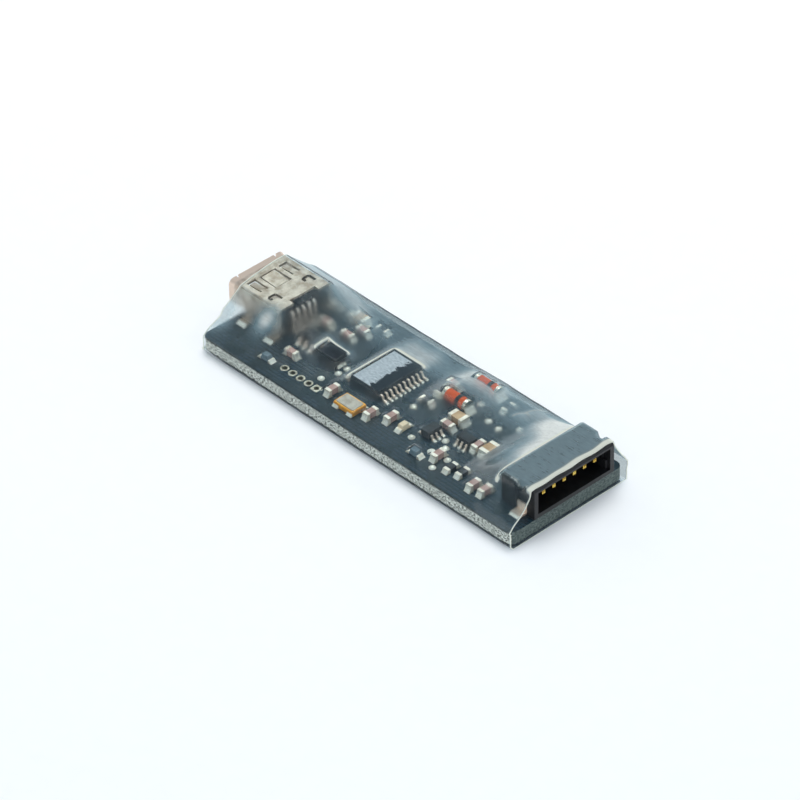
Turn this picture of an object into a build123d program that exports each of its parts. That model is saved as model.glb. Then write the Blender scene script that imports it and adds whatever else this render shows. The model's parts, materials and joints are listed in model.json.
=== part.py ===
from build123d import *

import os
from math import cos, radians, sin

# USB microcontroller programmer: a bare circuit board in a clear heat-shrink sleeve, with a
# mini-B receptacle at one end and a six-way side-entry header at the other.
#
# Frame: +X runs from the USB end to the header end, +Y runs across the board and +Z is up.
# The origin is on the underside of the sleeve, below the middle of the board. Millimetres.

# ---------------------------------------------------------------- driving dimensions

# Board and sleeve
board_length = 48.3
board_width = 16.5
board_thickness = 1.6
sleeve_wall = 0.25
pad_thickness = 0.035
under_gap = 0.05
board_bottom = sleeve_wall + under_gap
board_top = board_bottom + board_thickness
part_floor = board_top + pad_thickness

# Corners of the bare board
board_corner = 0.9

# Debug pads: five plated holes in a row, the last one square
debug_pad_count = 5
debug_pad_pitch = 1.27
debug_first_x = -13.33
debug_row_y = -5.84
debug_pad_radius = 0.52
debug_drill_radius = 0.40
debug_hole_radius = 0.32

# Both connectors sit on one line, a little off the board's centre line
connector_y = 1.0

# Mini-B receptacle
usb_width = 7.7
usb_height = 3.95
usb_sheet = 0.3
usb_front_x = -24.75
usb_lip_x = -25.4
usb_rear_x = -18.05
usb_flange_x = -17.4
usb_floor_gap = 0.25
usb_pin_pitch = 0.8
usb_pin_count = 5
usb_peg_radius = 0.45
spring_sag = 4.0
spring_gap = 0.02
spring_slot = 0.24
spring_thinning = 0.05

# Side-entry header
header_length = 4.85
header_width = 11.67
header_height = 3.64
header_wall = 0.55
header_cavity_depth = 3.7
header_pin_pitch = 1.5
header_pin_count = 6
header_pin_size = 0.45
header_pin_height = 2.18

# Microcontroller, a 20-lead thin shrink small-outline package
mcu_x = -4.2
mcu_y = 0.67
mcu_width = 4.4
mcu_length = 6.5
mcu_pitch = 0.65
mcu_leads_a_side = 10

# Glass diodes
diode_length = 3.5
diode_radius = 0.75

# Places on the board: (x, y, turn in degrees); a turn of 0 lays a part's length along X
small_capacitors = [
    (-14.4, -3.8, 0),
    (-6.47, -5.1, 90),
    (-0.6, -5.0, 90),
    (1.45, -3.9, 90),
    (9.65, -4.8, 90),
    (11.55, -0.75, 90),
    (6.7, -0.6, 0),
    (2.06, 4.77, 0),
    (-15.75, 2.5, 0),
    (-11.8, 4.3, 0),
    (-12.4, 2.6, 0),
    (15.9, -5.6, 90),
    (17.4, -5.4, 90),
]
large_capacitors = [(6.7, 1.0, 0), (12.95, -0.5, 90), (-13.5, 5.5, 0)]
resistors = [
    (12.0, -5.2, 90),
    (13.5, -4.9, 90),
    (8.94, 6.2, 90),
    (1.9, 0.85, 0),
    (1.85, 3.2, 90),
    (-10.6, 6.1, 0),
    (-15.8, 5.6, 0),
]
indicator_leds = [(-15.9, -6.1, 0), (7.5, -6.1, 0), (3.4, -3.95, 90)]
diodes = [(4.5, 2.9, 0), (5.2, 6.9, 0)]
test_points = [
    (-9.2, -4.3),
    (-8.5, -2.4),
    (-8.4, -1.2),
    (1.44, -0.64),
    (5.1, -4.4),
    (6.2, 4.75),
    (8.9, 3.3),
    (8.1, -2.3),
    (9.0, -3.2),
    (8.3, -4.6),
    (10.6, -4.4),
    (10.6, 3.1),
    (12.3, 4.6),
    (10.4, -6.4),
]
bulk_capacitor_place = (-10.8, -1.25, 0)
crystal_place = (-3.375, -5.45, 0)
esd_array_place = (-14.5, -0.6, 90)
level_shifters = [(6.2, -2.5, 0), (10.0, -0.95, 90)]

# How far a solder wedge's face is drawn in, as a share of its reach and height
hollow = 0.42

# Gull-wing leads: the slope's run as a share of its drop, then its shift and bends in thicknesses
lead_slope_run = 0.5
lead_slope_shift = 0.6
lead_bend = 0.4

# ---------------------------------------------------------------- shared shapes


def on_board(places, height=part_floor):
    """Turn (x, y, turn) places into locations at a height above the sleeve's underside."""
    return [Location((x, y, height), (0, 0, turn)) for x, y, turn in places]


def chip_body(length, width, height, skin):
    """The ceramic core of a two-terminal chip, its length along X."""
    with BuildPart() as body:
        with Locations((0, 0, height / 2)):
            Box(length - 2 * skin, width - 2 * skin, height - 2 * skin)
    return body.part


def chip_terminals(length, width, height, band, skin):
    """Two five-sided end caps that wrap the core of a two-terminal chip."""
    with BuildPart() as caps:
        with Locations((0, 0, height / 2)):
            Box(length, width, height)
            fillet(caps.edges().filter_by(Axis.X), radius=2 * skin)
            Box(length - 2 * band, width, height, mode=Mode.SUBTRACT)
            Box(length - 2 * skin, width - 2 * skin, height - 2 * skin, mode=Mode.SUBTRACT)
    return caps.part


def solder_fillet(reach, height, width):
    """A concave solder wedge that climbs a wall at x = 0 and runs out along +X."""
    with BuildPart() as wedge:
        with BuildSketch(Plane.XZ) as profile:
            with BuildLine():
                Line((0, 0), (reach, 0))
                ThreePointArc((reach, 0), (hollow * reach, hollow * height), (0, height))
                Line((0, height), (0, 0))
            make_face()
        extrude(amount=width / 2, both=True)
    return wedge.part


def end_fillets(half_length, reach, height, width):
    """One solder wedge at each end of a part whose length runs along X."""
    wedge = solder_fillet(reach, height, width)
    with BuildPart() as pair:
        with Locations((half_length, 0, 0), Location((-half_length, 0, 0), (0, 0, 180))):
            add(wedge)
    return pair.part


def end_pads(half_length, band, reach, width):
    """Two copper lands, one below each terminal and its solder."""
    land_length = band + reach
    land_centre = half_length - band + land_length / 2
    with BuildPart() as lands:
        with Locations((land_centre, 0, 0), (-land_centre, 0, 0)):
            Box(land_length, width, pad_thickness, align=(Align.CENTER, Align.CENTER, Align.MIN))
    return lands.part


def gull_wing(inner, shoulder, toe, height, thickness, width):
    """One lead: level out of the body, down a slope and level again on its land, along +X."""
    heel = shoulder + lead_slope_run * height
    slope_shift = lead_slope_shift * thickness
    top = height + thickness
    with BuildPart() as lead:
        with BuildSketch(Plane.XZ) as profile:
            with BuildLine():
                Polyline(
                    (inner, height),
                    (inner, top),
                    (shoulder + slope_shift, top),
                    (heel + slope_shift, thickness),
                    (toe, thickness),
                    (toe, 0),
                    (heel, 0),
                    (shoulder, height),
                    close=True,
                )
            make_face()
            bends = profile.vertices().filter_by_position(Axis.X, shoulder, heel + slope_shift)
            fillet(bends, radius=lead_bend * thickness)
        extrude(amount=width / 2, both=True)
    return lead.part


def lead_row(lead, count, pitch):
    """Two facing rows of one lead shape, count in each row, the rows along Y."""
    first = -pitch * (count - 1) / 2
    with BuildPart() as rows:
        for i in range(count):
            y = first + i * pitch
            with Locations((0, y, 0), Location((0, y, 0), (0, 0, 180))):
                add(lead)
    return rows.part


def moulded_body(width, length, height, standoff, leads, draft):
    """A moulded package whose four sides slope in above and below its lead line."""
    with BuildPart() as body:
        with BuildSketch(Plane.XY.offset(standoff + height / 2)):
            Rectangle(width, length)
        extrude(amount=height / 2, taper=draft)
        with BuildSketch(Plane.XY.offset(standoff + height / 2)):
            Rectangle(width, length)
        extrude(amount=-height / 2, taper=draft)
        add(leads, mode=Mode.SUBTRACT)
    return body.part


# ---------------------------------------------------------------- board

debug_pads_x = [debug_first_x + i * debug_pad_pitch for i in range(debug_pad_count)]
debug_places = [(x, debug_row_y) for x in debug_pads_x]
usb_peg_x = -19.6
usb_peg_reach = 2.2
usb_pegs = [(usb_peg_x, connector_y - usb_peg_reach), (usb_peg_x, connector_y + usb_peg_reach)]
peg_depth = 1.2
peg_root = 0.05
peg_clearance = 0.03

with BuildPart() as circuit_board:
    with BuildSketch(Plane.XY.offset(board_bottom)) as outline:
        Rectangle(board_length, board_width)
        fillet(outline.vertices(), radius=board_corner)
    extrude(amount=board_thickness)
    with Locations(*[(x, y, board_top) for x, y in debug_places]):
        Hole(radius=debug_drill_radius)
    with Locations(*[(x, y, board_top) for x, y in usb_pegs]):
        Hole(radius=usb_peg_radius + peg_clearance)

with BuildPart() as debug_pads:
    for face_z in (board_bottom - pad_thickness, board_top):
        with BuildSketch(Plane.XY.offset(face_z)):
            with Locations(*debug_places[:-1]):
                Circle(debug_pad_radius)
            with Locations(debug_places[-1]):
                Rectangle(2 * debug_pad_radius, 2 * debug_pad_radius)
        extrude(amount=pad_thickness)
    with BuildSketch(Plane.XY.offset(board_bottom)):
        with Locations(*debug_places):
            Circle(debug_drill_radius)
    extrude(amount=board_thickness)
    with Locations(*[(x, y, part_floor) for x, y in debug_places]):
        Hole(radius=debug_hole_radius)

# ---------------------------------------------------------------- mini-B receptacle

usb_half = usb_width / 2
usb_top = board_top + usb_height
usb_belly = board_top + usb_floor_gap
shell_length = usb_flange_x - usb_front_x
spring_z = usb_top - usb_sheet / 2
# The lower corners of the shell are cut off at a slope
usb_slope_rise = 1.35
usb_slope_run = 0.95
usb_top_bend = 0.55
usb_low_bend = 0.3
usb_lip_flare = 0.16
flare_notch = 0.3
flare_notch_reach = 2.75
rear_cut_width = 3.7
rear_cut_shift = 0.15
rear_cut_overrun = 0.2
belly_cut_x = -18.6
belly_cut_length = 3.4
belly_rim = 0.8
dimple_x = -24.0
dimple_height = 2.6
dimple_radius = 0.18
shell_leg_xs = (-22.4, -18.1)
shell_leg_length = 1.2
shell_leg_height = 1.5
shell_foot_reach = 0.9

# Windows in the top plate, each (root x, free x, centre y, width) of the spring it frees
ground_spring = (-23.5, -21.0, 0.94, 1.9)
latch_springs = {
    "near": (-21.3, -23.35, connector_y - 2.38, 0.72),
    "far": (-21.3, -23.35, connector_y + 2.28, 0.72),
}
tab_slot_x = -19.95
tab_slot_length = 1.1
tab_slot_width = 0.95
tab_slot_line = 0.38
tab_slot_ys = (connector_y - 2.54, connector_y + 2.4)


def spring_window(root_x, free_x, y, width):
    """The hole around one spring: snug at the root, a slot's width along the other sides."""
    reach = spring_slot if free_x > root_x else -spring_slot
    length = abs(free_x + reach - root_x)
    with BuildPart() as window:
        with Locations(((free_x + reach + root_x) / 2, y, spring_z)):
            Box(length, width + 2 * spring_slot, 3 * usb_sheet)
    return window.part


def spring(root_x, free_x, y, width):
    """A stamped spring leaf, bent down by its rest angle about a bend at its root."""
    lean = 1 if free_x > root_x else -1
    thickness = usb_sheet - spring_thinning
    bend_x = root_x + lean * (spring_gap + thickness / 2)
    leaf_length = abs(free_x - bend_x)
    angle = radians(spring_sag)
    leaf_plane = Plane(
        origin=(bend_x, y, spring_z),
        x_dir=(lean * cos(angle), 0, -sin(angle)),
        z_dir=(lean * sin(angle), 0, cos(angle)),
    )
    with BuildPart(leaf_plane) as whole:
        with Locations((leaf_length / 2, 0, 0)):
            Box(leaf_length, width, thickness)
        with Locations((0, 0, 0), (leaf_length - 2 * thickness, 0, -thickness / 2)):
            Cylinder(radius=thickness / 2, height=width, rotation=(90, 0, 0))
    return whole


spring_windows = [spring_window(*place) for place in (ground_spring, *latch_springs.values())]


def shell_section(x, grow):
    """The shell's closed outline across X, grown outwards."""
    with BuildSketch(Plane(origin=(x, connector_y, board_top), x_dir=(0, 1, 0), z_dir=(1, 0, 0))) as section:
        with BuildLine():
            Polyline(
                (-usb_half, usb_height),
                (usb_half, usb_height),
                (usb_half, usb_slope_rise),
                (usb_half - usb_slope_run, usb_floor_gap),
                (-usb_half + usb_slope_run, usb_floor_gap),
                (-usb_half, usb_slope_rise),
                close=True,
            )
        make_face()
        fillet(section.vertices().group_by(Axis.Y)[-1], radius=usb_top_bend)
        fillet(section.vertices().group_by(Axis.Y)[0], radius=usb_low_bend)
        if grow:
            offset(amount=grow)
    return section.sketch


# Flared mouth, slit at its two upper corners
with BuildPart() as shell_mouth:
    loft(sections=[shell_section(usb_lip_x, usb_lip_flare), shell_section(usb_front_x, 0)])
    loft(
        sections=[
            shell_section(usb_lip_x, usb_lip_flare - usb_sheet),
            shell_section(usb_front_x, -usb_sheet),
        ],
        mode=Mode.SUBTRACT,
    )
    for side in (-1, 1):
        with Locations((usb_lip_x, connector_y + side * flare_notch_reach, usb_top)):
            Box(usb_front_x - usb_lip_x, flare_notch, 3 * usb_sheet, mode=Mode.SUBTRACT)

shell_front = shell_section(usb_front_x, 0)
shell_bore = shell_section(usb_front_x, -usb_sheet)

with BuildPart() as usb_shell:
    extrude(shell_front, amount=shell_length)
    extrude(shell_bore, amount=shell_length, mode=Mode.SUBTRACT)
    # The rear edge of the top plate stops short between the two corner flanges
    rear_cut_x = (usb_rear_x + usb_flange_x + rear_cut_overrun) / 2
    with Locations((rear_cut_x, connector_y + rear_cut_shift, usb_top)):
        Box(
            usb_flange_x - usb_rear_x + rear_cut_overrun,
            rear_cut_width,
            3 * usb_sheet,
            mode=Mode.SUBTRACT,
        )
    # The belly is open behind the front half, so that the insulator's pegs reach the board
    with Locations((belly_cut_x, connector_y, usb_belly)):
        Box(belly_cut_length, usb_width - 2 * belly_rim, 2 * usb_sheet, mode=Mode.SUBTRACT)
    add(spring_windows, mode=Mode.SUBTRACT)
    # Two C-shaped cuts free the tabs that hold the insulator
    for y in tab_slot_ys:
        with Locations((tab_slot_x, y, spring_z)):
            Box(tab_slot_line, tab_slot_width, 3 * usb_sheet, mode=Mode.SUBTRACT)
        with Locations((tab_slot_x + tab_slot_length / 2, y + tab_slot_width / 2, spring_z)):
            Box(tab_slot_length, tab_slot_line, 3 * usb_sheet, mode=Mode.SUBTRACT)
        with Locations((tab_slot_x + tab_slot_length / 4, y - tab_slot_width / 2, spring_z)):
            Box(tab_slot_length / 2, tab_slot_line, 3 * usb_sheet, mode=Mode.SUBTRACT)
    # A locating dimple through each side wall
    with Locations((dimple_x, connector_y, board_top + dimple_height)):
        Cylinder(dimple_radius, 2 * usb_width, rotation=(90, 0, 0), mode=Mode.SUBTRACT)
    add(shell_mouth.part)
    # Two legs a side, each with a foot on the board
    for side in (-1, 1):
        wall = connector_y + side * usb_half
        for leg_x in shell_leg_xs:
            with Locations((leg_x, wall - side * usb_sheet / 2, part_floor)):
                Box(
                    shell_leg_length,
                    usb_sheet,
                    shell_leg_height,
                    align=(Align.CENTER, Align.CENTER, Align.MIN),
                )
            with Locations((leg_x, wall + side * shell_foot_reach / 2, part_floor)):
                Box(
                    shell_leg_length,
                    shell_foot_reach,
                    usb_sheet,
                    align=(Align.CENTER, Align.CENTER, Align.MIN),
                )

usb_ground_tongue = spring(*ground_spring)
usb_latch_spring_near = spring(*latch_springs["near"])
usb_latch_spring_far = spring(*latch_springs["far"])

# Five contacts: along the blade, back through the block, down its rear face and out to a foot
contact_thickness = 0.18
contact_width = 0.36
contact_front_x = -23.7
contact_inner_bend = 0.2
contact_outer_bend = 0.1
blade_top = board_top + 2.35
block_rear_x = -18.0
contact_rear_x = -17.75
contact_foot_x = -16.8

with BuildPart() as usb_contacts:
    for i in range(usb_pin_count):
        contact_y = connector_y + (i - (usb_pin_count - 1) / 2) * usb_pin_pitch
        with BuildSketch(Plane.XZ.offset(-contact_y)):
            with BuildLine():
                Polyline(
                    (contact_front_x, blade_top),
                    (contact_front_x, blade_top + contact_thickness),
                    (contact_rear_x - contact_outer_bend, blade_top + contact_thickness),
                    (contact_rear_x + contact_thickness, blade_top - contact_outer_bend),
                    (contact_rear_x + contact_thickness, part_floor + contact_thickness),
                    (contact_foot_x, part_floor + contact_thickness),
                    (contact_foot_x, part_floor),
                    (contact_rear_x, part_floor),
                    (contact_rear_x, blade_top - contact_inner_bend),
                    (contact_rear_x - contact_inner_bend, blade_top),
                    close=True,
                )
            make_face()
        extrude(amount=contact_width / 2, both=True)

blade_thickness = 0.7
blade_width = 4.4
blade_root = 0.2
block_front_x = -19.6
block_play = 0.1
block_width = usb_width - 2 * usb_sheet - block_play
block_belly_inset = 0.95
block_belly_z = board_top + 0.3
block_shoulder_z = board_top + 1.5
block_shoulder_height = 1.75
block_bevel = 0.5

with BuildPart() as usb_insulator:
    # Block that closes the rear of the shell; its lower edges follow the shell's slopes
    with BuildSketch(Plane.YZ.offset(block_front_x)):
        with Locations((connector_y, block_belly_z)):
            Rectangle(
                block_width - 2 * block_belly_inset,
                block_shoulder_z - block_belly_z,
                align=(Align.CENTER, Align.MIN),
            )
        with Locations((connector_y, block_shoulder_z)):
            Rectangle(block_width, block_shoulder_height, align=(Align.CENTER, Align.MIN))
    extrude(amount=block_rear_x - block_front_x)
    rear_top = usb_insulator.edges().filter_by(Axis.Y).group_by(Axis.Z)[-1].sort_by(Axis.X)[-1]
    chamfer(rear_top, length=block_bevel)
    # Blade that the plug slides over
    with Locations(((contact_front_x + block_front_x - blade_root) / 2, connector_y, blade_top)):
        Box(
            block_front_x - contact_front_x + blade_root,
            blade_width,
            blade_thickness,
            align=(Align.CENTER, Align.CENTER, Align.MAX),
        )
    with Locations(*[(x, y, block_belly_z + peg_root) for x, y in usb_pegs]):
        Cylinder(usb_peg_radius, peg_depth, align=(Align.CENTER, Align.CENTER, Align.MAX))
    add(usb_contacts.part, mode=Mode.SUBTRACT)

# ---------------------------------------------------------------- side-entry header

header_front_x = board_length / 2
header_skin = 0.5
housing_bevel = 0.15
mouth_bevel = 0.12
rib_width = 0.3
low_rib_x = 1.7
low_rib_size = (2.6, rib_width, 1.15)
high_rib_x = 2.0
high_rib_size = (2.0, rib_width, 0.45)
web_inset = 0.1
web_width = 0.25
web_overlap = 0.2
header_rear_x = header_front_x - header_length
header_centre_x = (header_front_x + header_rear_x) / 2
header_pin_z = board_top + header_pin_height
header_cavity_floor = board_top + header_skin
header_cavity_top = board_top + header_height - header_skin
tab_notch_x = header_front_x - 1.95
tab_notch_length = 1.6
tab_notch_depth = 0.55
tab_sheet = 0.2
tab_length = 1.4
tab_height = 1.15
tab_foot_length = 1.2
tab_foot_reach = 0.9
pin_tip_x = header_front_x - 0.65
pin_bend_x = header_rear_x + 0.45
pin_toe_x = header_rear_x - 1.1
pin_toe_height = 0.3
pin_tip_bevel = 0.12
half_pin = header_pin_size / 2

with BuildPart() as header_pins:
    for i in range(header_pin_count):
        pin_y = connector_y + (i - (header_pin_count - 1) / 2) * header_pin_pitch
        with BuildSketch(Plane.XZ.offset(-pin_y)) as pin_outline:
            with BuildLine():
                Polyline(
                    (pin_tip_x, header_pin_z - half_pin),
                    (pin_tip_x, header_pin_z + half_pin),
                    (pin_bend_x - half_pin, header_pin_z + half_pin),
                    (pin_bend_x - half_pin, part_floor + pin_toe_height),
                    (pin_toe_x, part_floor + pin_toe_height),
                    (pin_toe_x, part_floor),
                    (pin_bend_x + half_pin, part_floor),
                    (pin_bend_x + half_pin, header_pin_z - half_pin),
                    close=True,
                )
            make_face()
        extrude(amount=half_pin, both=True)
    tips = header_pins.faces().filter_by(Axis.X).group_by(Axis.X)[-1]
    chamfer(tips.edges(), length=pin_tip_bevel)

with BuildPart() as header_housing:
    with Locations((header_centre_x, connector_y, board_top)):
        Box(
            header_length,
            header_width,
            header_height,
            align=(Align.CENTER, Align.CENTER, Align.MIN),
        )
    chamfer(header_housing.edges().filter_by(Axis.Y).group_by(Axis.Z)[-1], length=housing_bevel)
    # Mating cavity, open towards +X
    with BuildSketch(Plane.YZ.offset(header_front_x)):
        with Locations((connector_y, (header_cavity_floor + header_cavity_top) / 2)):
            Rectangle(header_width - 2 * header_wall, header_cavity_top - header_cavity_floor)
    extrude(amount=-header_cavity_depth, mode=Mode.SUBTRACT)
    # Keying ribs low on both side walls of the cavity
    for side in (-1, 1):
        rib_y = connector_y + side * (header_width / 2 - header_wall - rib_width / 2)
        with Locations((header_front_x - low_rib_x, rib_y, header_cavity_floor)):
            Box(*low_rib_size, align=(Align.CENTER, Align.CENTER, Align.MIN))
        with Locations((header_front_x - high_rib_x, rib_y, header_cavity_top)):
            Box(*high_rib_size, align=(Align.CENTER, Align.CENTER, Align.MAX))
        # Notch that takes the solder tab's upright
        notch_y = connector_y + side * (header_width / 2 - tab_notch_depth / 2)
        with Locations((tab_notch_x, notch_y, board_top)):
            Box(
                tab_notch_length,
                tab_notch_depth,
                header_height,
                align=(Align.CENTER, Align.CENTER, Align.MIN),
                mode=Mode.SUBTRACT,
            )
        # A thin web closes the notch towards the cavity
        web_y = connector_y + side * (header_width / 2 - tab_notch_depth - web_inset)
        with Locations((tab_notch_x, web_y, board_top)):
            Box(
                tab_notch_length + 2 * web_overlap,
                web_width,
                header_height - housing_bevel,
                align=(Align.CENTER, Align.CENTER, Align.MIN),
            )
    # Small lip where each wall meets the cavity mouth
    mouth = header_housing.faces().sort_by(Axis.X)[-1]
    chamfer(mouth.inner_wires()[0].edges().sort_by(Axis.Z)[-1], length=mouth_bevel)
    add(header_pins.part, mode=Mode.SUBTRACT)

with BuildPart() as header_solder_tabs:
    for side in (-1, 1):
        upright_y = connector_y + side * (header_width / 2 + tab_foot_reach - tab_foot_length + tab_sheet / 2)
        foot_y = connector_y + side * (header_width / 2 + tab_foot_reach - tab_foot_length / 2)
        with Locations((tab_notch_x, upright_y, part_floor)):
            Box(tab_length, tab_sheet, tab_height, align=(Align.CENTER, Align.CENTER, Align.MIN))
        with Locations((tab_notch_x, foot_y, part_floor)):
            Box(tab_length, tab_foot_length, tab_sheet, align=(Align.CENTER, Align.CENTER, Align.MIN))

# ---------------------------------------------------------------- moulded packages

# Six-lead packages have three leads a side
leads_a_side = 3
# For each package: (land length, land width) and (height, width) of the solder at a toe
mcu_land = (0.75, 0.34)
mcu_toe_bead = (0.13, 0.3)
esd_land = (0.7, 0.55)
esd_toe_bead = (0.12, 0.5)
shifter_land = (0.55, 0.36)
shifter_toe_bead = (0.1, 0.32)

mcu_lead_width = 0.22
mcu_toe = 3.2
mcu_lead = gull_wing(
    inner=1.9,
    shoulder=2.4,
    toe=mcu_toe,
    height=0.52,
    thickness=0.15,
    width=mcu_lead_width,
)
mcu_lead_set = lead_row(mcu_lead, mcu_leads_a_side, mcu_pitch)
mcu_body = moulded_body(
    width=mcu_width,
    length=mcu_length,
    height=1.0,
    standoff=0.095,
    leads=mcu_lead_set,
    draft=10,
)
mcu_place = [(mcu_x, mcu_y, 0)]

with BuildPart() as microcontroller_leads:
    with Locations(*on_board(mcu_place)):
        add(mcu_lead_set)

with BuildPart() as microcontroller_body:
    with Locations(*on_board(mcu_place)):
        add(mcu_body)

esd_lead_width = 0.4
esd_toe = 1.42
esd_pitch = 0.95
esd_lead = gull_wing(
    inner=0.6,
    shoulder=0.88,
    toe=esd_toe,
    height=0.5,
    thickness=0.13,
    width=esd_lead_width,
)
esd_lead_set = lead_row(esd_lead, leads_a_side, esd_pitch)
esd_body = moulded_body(
    width=1.6,
    length=2.9,
    height=1.0,
    standoff=0.07,
    leads=esd_lead_set,
    draft=9,
)

with BuildPart() as esd_array_leads:
    with Locations(*on_board([esd_array_place])):
        add(esd_lead_set)

with BuildPart() as esd_array_body:
    with Locations(*on_board([esd_array_place])):
        add(esd_body)

shifter_lead_width = 0.25
shifter_toe = 1.1
shifter_pitch = 0.65
shifter_lead = gull_wing(
    inner=0.45,
    shoulder=0.66,
    toe=shifter_toe,
    height=0.42,
    thickness=0.12,
    width=shifter_lead_width,
)
shifter_lead_set = lead_row(shifter_lead, leads_a_side, shifter_pitch)
shifter_body = moulded_body(
    width=1.25,
    length=2.0,
    height=0.85,
    standoff=0.06,
    leads=shifter_lead_set,
    draft=8,
)

with BuildPart() as level_shifter_leads:
    with Locations(*on_board(level_shifters)):
        add(shifter_lead_set)

with BuildPart() as level_shifter_bodies:
    with Locations(*on_board(level_shifters)):
        add(shifter_body)

# ---------------------------------------------------------------- crystal

crystal_length = 3.05
crystal_width = 2.1
crystal_base_height = 0.42
crystal_ring_height = 0.14
crystal_lid_height = 0.1
crystal_well = 0.2
crystal_well_size = (2.2, 1.3)
crystal_corner = 0.12
ring_inset = 0.06
ring_opening = (2.4, 1.5, 0.15)
lid_inset = 0.21
lid_corner = 0.2
lid_bevel = 0.04
quartz_size = (1.9, 1.05, 0.08)

with BuildPart() as crystal_base:
    with Locations(*on_board([crystal_place])):
        Box(
            crystal_length,
            crystal_width,
            crystal_base_height,
            align=(Align.CENTER, Align.CENTER, Align.MIN),
        )
    fillet(crystal_base.edges().filter_by(Axis.Z), radius=crystal_corner)
    well_top = part_floor + crystal_base_height
    with BuildSketch(Plane.XY.offset(well_top)):
        with Locations(crystal_place[:2]):
            Rectangle(*crystal_well_size)
    extrude(amount=-crystal_well, mode=Mode.SUBTRACT)

with BuildPart() as crystal_seal_ring:
    with BuildSketch(Plane.XY.offset(part_floor + crystal_base_height)):
        with Locations(crystal_place[:2]):
            RectangleRounded(crystal_length - 2 * ring_inset, crystal_width - 2 * ring_inset, crystal_corner)
            RectangleRounded(*ring_opening, mode=Mode.SUBTRACT)
    extrude(amount=crystal_ring_height)

with BuildPart() as crystal_lid:
    lid_floor = part_floor + crystal_base_height + crystal_ring_height
    with BuildSketch(Plane.XY.offset(lid_floor)):
        with Locations(crystal_place[:2]):
            RectangleRounded(crystal_length - 2 * lid_inset, crystal_width - 2 * lid_inset, lid_corner)
    extrude(amount=crystal_lid_height)
    chamfer(crystal_lid.faces().sort_by(Axis.Z)[-1].edges(), length=lid_bevel)

with BuildPart() as crystal_blank:
    with BuildSketch(Plane.XY.offset(part_floor + crystal_base_height - crystal_well)):
        with Locations(crystal_place[:2]):
            Rectangle(*quartz_size[:2])
    extrude(amount=quartz_size[2])

# ---------------------------------------------------------------- bulk capacitor

bulk_length = 3.0
bulk_width = 1.8
bulk_height = 1.27
bulk_terminal_width = 1.2
bulk_terminal = 0.12
bulk_terminal_height = 0.3
bulk_foot_length = 0.75
bulk_size = (bulk_length, bulk_terminal_width, bulk_terminal_height)
bulk_corner = 0.3
bulk_top_edge = 0.1

with BuildPart() as bulk_capacitor_terminals:
    with Locations(*on_board([bulk_capacitor_place])):
        Box(
            bulk_length,
            bulk_terminal_width,
            bulk_terminal_height,
            align=(Align.CENTER, Align.CENTER, Align.MIN),
        )
        Box(
            bulk_length - 2 * bulk_foot_length,
            bulk_terminal_width,
            bulk_terminal_height,
            align=(Align.CENTER, Align.CENTER, Align.MIN),
            mode=Mode.SUBTRACT,
        )
    with Locations(*on_board([bulk_capacitor_place], part_floor + bulk_terminal)):
        Box(
            bulk_length - 2 * bulk_terminal,
            bulk_terminal_width,
            bulk_terminal_height,
            align=(Align.CENTER, Align.CENTER, Align.MIN),
            mode=Mode.SUBTRACT,
        )

with BuildPart() as bulk_capacitor_body:
    with Locations(*on_board([bulk_capacitor_place])):
        Box(
            bulk_length,
            bulk_width,
            bulk_height,
            align=(Align.CENTER, Align.CENTER, Align.MIN),
        )
    fillet(bulk_capacitor_body.edges().filter_by(Axis.Z), radius=bulk_corner)
    fillet(bulk_capacitor_body.faces().sort_by(Axis.Z)[-1].edges(), radius=bulk_top_edge)
    add(bulk_capacitor_terminals.part, mode=Mode.SUBTRACT)

# ---------------------------------------------------------------- chip capacitors and resistors

small_chip = (1.6, 0.8, 0.8)
large_chip = (2.0, 1.25, 0.95)
resistor_chip = (1.6, 0.8, 0.48)
small_band = 0.35
large_band = 0.45
plating = 0.03


def repeated(shape, locations):
    """A node made of one shape at every location."""
    with BuildPart() as group:
        with Locations(*locations):
            add(shape)
    return group


small_capacitor_bodies = repeated(chip_body(*small_chip, plating), on_board(small_capacitors))
small_capacitor_terminals = repeated(
    chip_terminals(*small_chip, small_band, plating), on_board(small_capacitors)
)
large_capacitor_bodies = repeated(chip_body(*large_chip, plating), on_board(large_capacitors))
large_capacitor_terminals = repeated(
    chip_terminals(*large_chip, large_band, plating), on_board(large_capacitors)
)
resistor_bodies = repeated(chip_body(*resistor_chip, plating), on_board(resistors))
resistor_terminals = repeated(
    chip_terminals(*resistor_chip, small_band, plating), on_board(resistors)
)

# ---------------------------------------------------------------- glass diodes

diode_cap_length = 0.42
glass_inset = 0.06
diode_glass_radius = diode_radius - glass_inset
diode_bore = 0.42
diode_chip_length = 0.25
diode_band_x = 0.45
diode_band_length = 0.5
band_skin = 0.03
diode_chip_radius = 0.3
cap_rim = 0.06
diode_axis = part_floor + diode_radius


def along_x(length, radius, bore=0.0):
    """A round bar or tube, centred on the origin, with its axis along X."""
    with BuildPart() as bar:
        Cylinder(radius, length, rotation=(0, 90, 0))
        if bore:
            Cylinder(bore, length, rotation=(0, 90, 0), mode=Mode.SUBTRACT)
    return bar.part


diode_places = on_board(diodes, diode_axis)
glass_length = diode_length - 2 * diode_cap_length
slug_length = (glass_length - diode_chip_length) / 2
cap_centre = (diode_length - diode_cap_length) / 2
slug_centre = (glass_length - slug_length) / 2

both_ends = [(cap_centre, 0, 0), (-cap_centre, 0, 0)]
both_slugs = [(slug_centre, 0, 0), (-slug_centre, 0, 0)]
tube = along_x(glass_length, diode_glass_radius, diode_bore)
end_cap = along_x(diode_cap_length, diode_radius)
slug = along_x(slug_length, diode_bore)
die = along_x(diode_chip_length, diode_chip_radius)
band = along_x(diode_band_length, diode_glass_radius + band_skin, diode_glass_radius)

with BuildPart() as diode_glass:
    with Locations(*diode_places):
        add(tube)

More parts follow.
